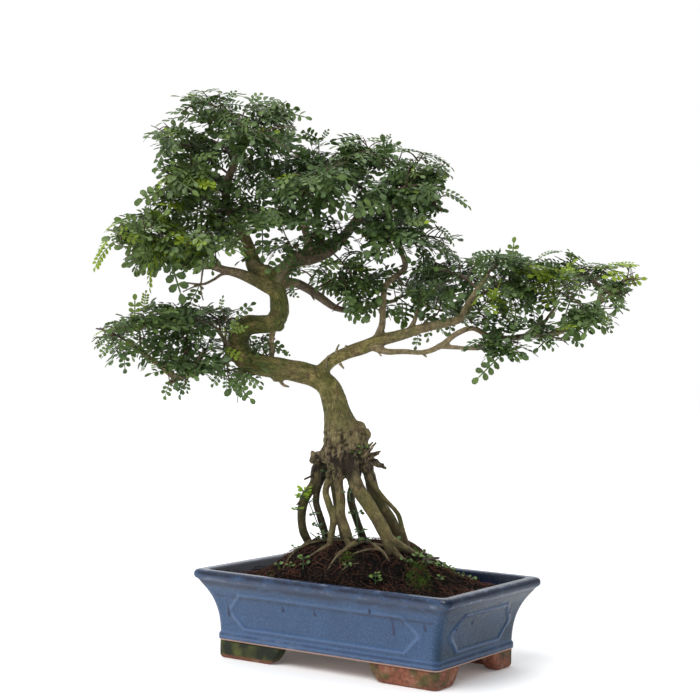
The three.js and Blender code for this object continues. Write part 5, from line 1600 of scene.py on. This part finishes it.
stalks += [stalk_line(*((knot, 1.4) for knot in stalk)) for stalk in WEED_STALKS]
ground_weeds = leafy_piece("ground_weeds", stalks, buds, weed_box, 7, (weed_finish, weed_finish), 1.5 * MM)
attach(ground_weeds, "root")
cleared(weed_box)


# Floor, light and camera: a pale studio sweep, a large soft light above and in front, and a weaker one
# overhead. The camera stands a little right of the pot's front corner, level with the middle of the tree.
FLOOR_REACH, FLOOR_GLOW = 6.0, 0.06
FLOOR_WHITE, FLOOR_WHITER = (0.97, 0.97, 0.97), (0.98, 0.98, 0.98)
STUDIO_GREY, STUDIO_WHITE = (0.53, 0.54, 0.56), (1.0, 1.0, 1.0)
# How the camera is turned, dropped and leaned, and how long its lens is for a picture so many dots wide.
VIEW_TURN, VIEW_DROP, VIEW_LEAN = 34.017, 0.33, 1.02
LENS_LENGTH, PICTURE_WIDTH = 1561.66, 700
floor_finish, tree, surface, where = finish_of("studio_floor", 0.9, 0.1)
colour = mixed(tree, speckle(tree, where, 3, 2), FLOOR_WHITE, FLOOR_WHITER)
tree.links.new(colour, surface.inputs["Base Color"])
surface.inputs["Emission Color"].default_value = (1, 1, 1, 1)
surface.inputs["Emission Strength"].default_value = FLOOR_GLOW
corners = [(x * FLOOR_REACH, y * FLOOR_REACH, 0) for x, y in ((-1, -1), (1, -1), (1, 1), (-1, 1))]
floor = piece_of("floor", corners, [(0, 1, 2, 3)], [floor_finish], False)

world = bpy.data.worlds.new("studio")
bpy.context.scene.world = world
world.use_nodes = True
tree = world.node_tree
right = Vector((*across_way, 0))
away = Vector((-across_way[1], across_way[0], 0))
up = Vector((0, 0, 1))
middle = Vector(pot_middle)
toward = node(tree, "ShaderNodeTexCoord").outputs["Generated"]
behind = node(tree, "ShaderNodeVectorMath", {0: toward, 1: (away - right * 0.5).normalized()},
              operation="DOT_PRODUCT")
share = ramp(tree, behind.outputs["Value"], -0.3, 0.5)
tree.links.new(mixed(tree, share, STUDIO_GREY, STUDIO_WHITE), tree.nodes["Background"].inputs["Color"])


def placed(name, data, place):
    made = bpy.data.objects.new(name, data)
    bpy.context.scene.collection.objects.link(made)
    made.location = place
    return made


def soft_light(name, kind, place, power, **settings):
    data = bpy.data.lights.new(name, kind)
    data.energy = power
    for key, value in settings.items():
        setattr(data, key, value)
    aim = middle + up * 0.25 - place
    placed(name, data, place).rotation_euler = aim.to_track_quat("-Z", "Y").to_euler()


soft_light("key", "SUN", middle - away * 1.2 - right * 0.9 + up * 2.1, 2.0, angle=math.radians(40))
soft_light("overhead", "AREA", middle + away * 0.3 + up * 1.7, 10, size=1.5)

camera_data = bpy.data.cameras.new("camera")
camera_data.sensor_width = 36
camera_data.lens = LENS_LENGTH / PICTURE_WIDTH * camera_data.sensor_width
camera_data.clip_start, camera_data.clip_end = 0.05, 50
stand = middle + right * VIEW_RIGHT * MM - away * VIEW_DISTANCE * MM + Vector((0, 0, VIEW_HEIGHT * MM))
aim = Matrix()
for degrees, axis in ((VIEW_TURN, "Z"), (90 - VIEW_DROP, "X"), (VIEW_LEAN, "Z")):
    aim = aim @ Matrix.Rotation(math.radians(degrees), 4, axis)
camera = placed("camera", camera_data, stand)
camera.matrix_world = Matrix.Translation(stand) @ aim
bpy.context.scene.camera = camera
bpy.context.scene.view_settings.view_transform = "Standard"
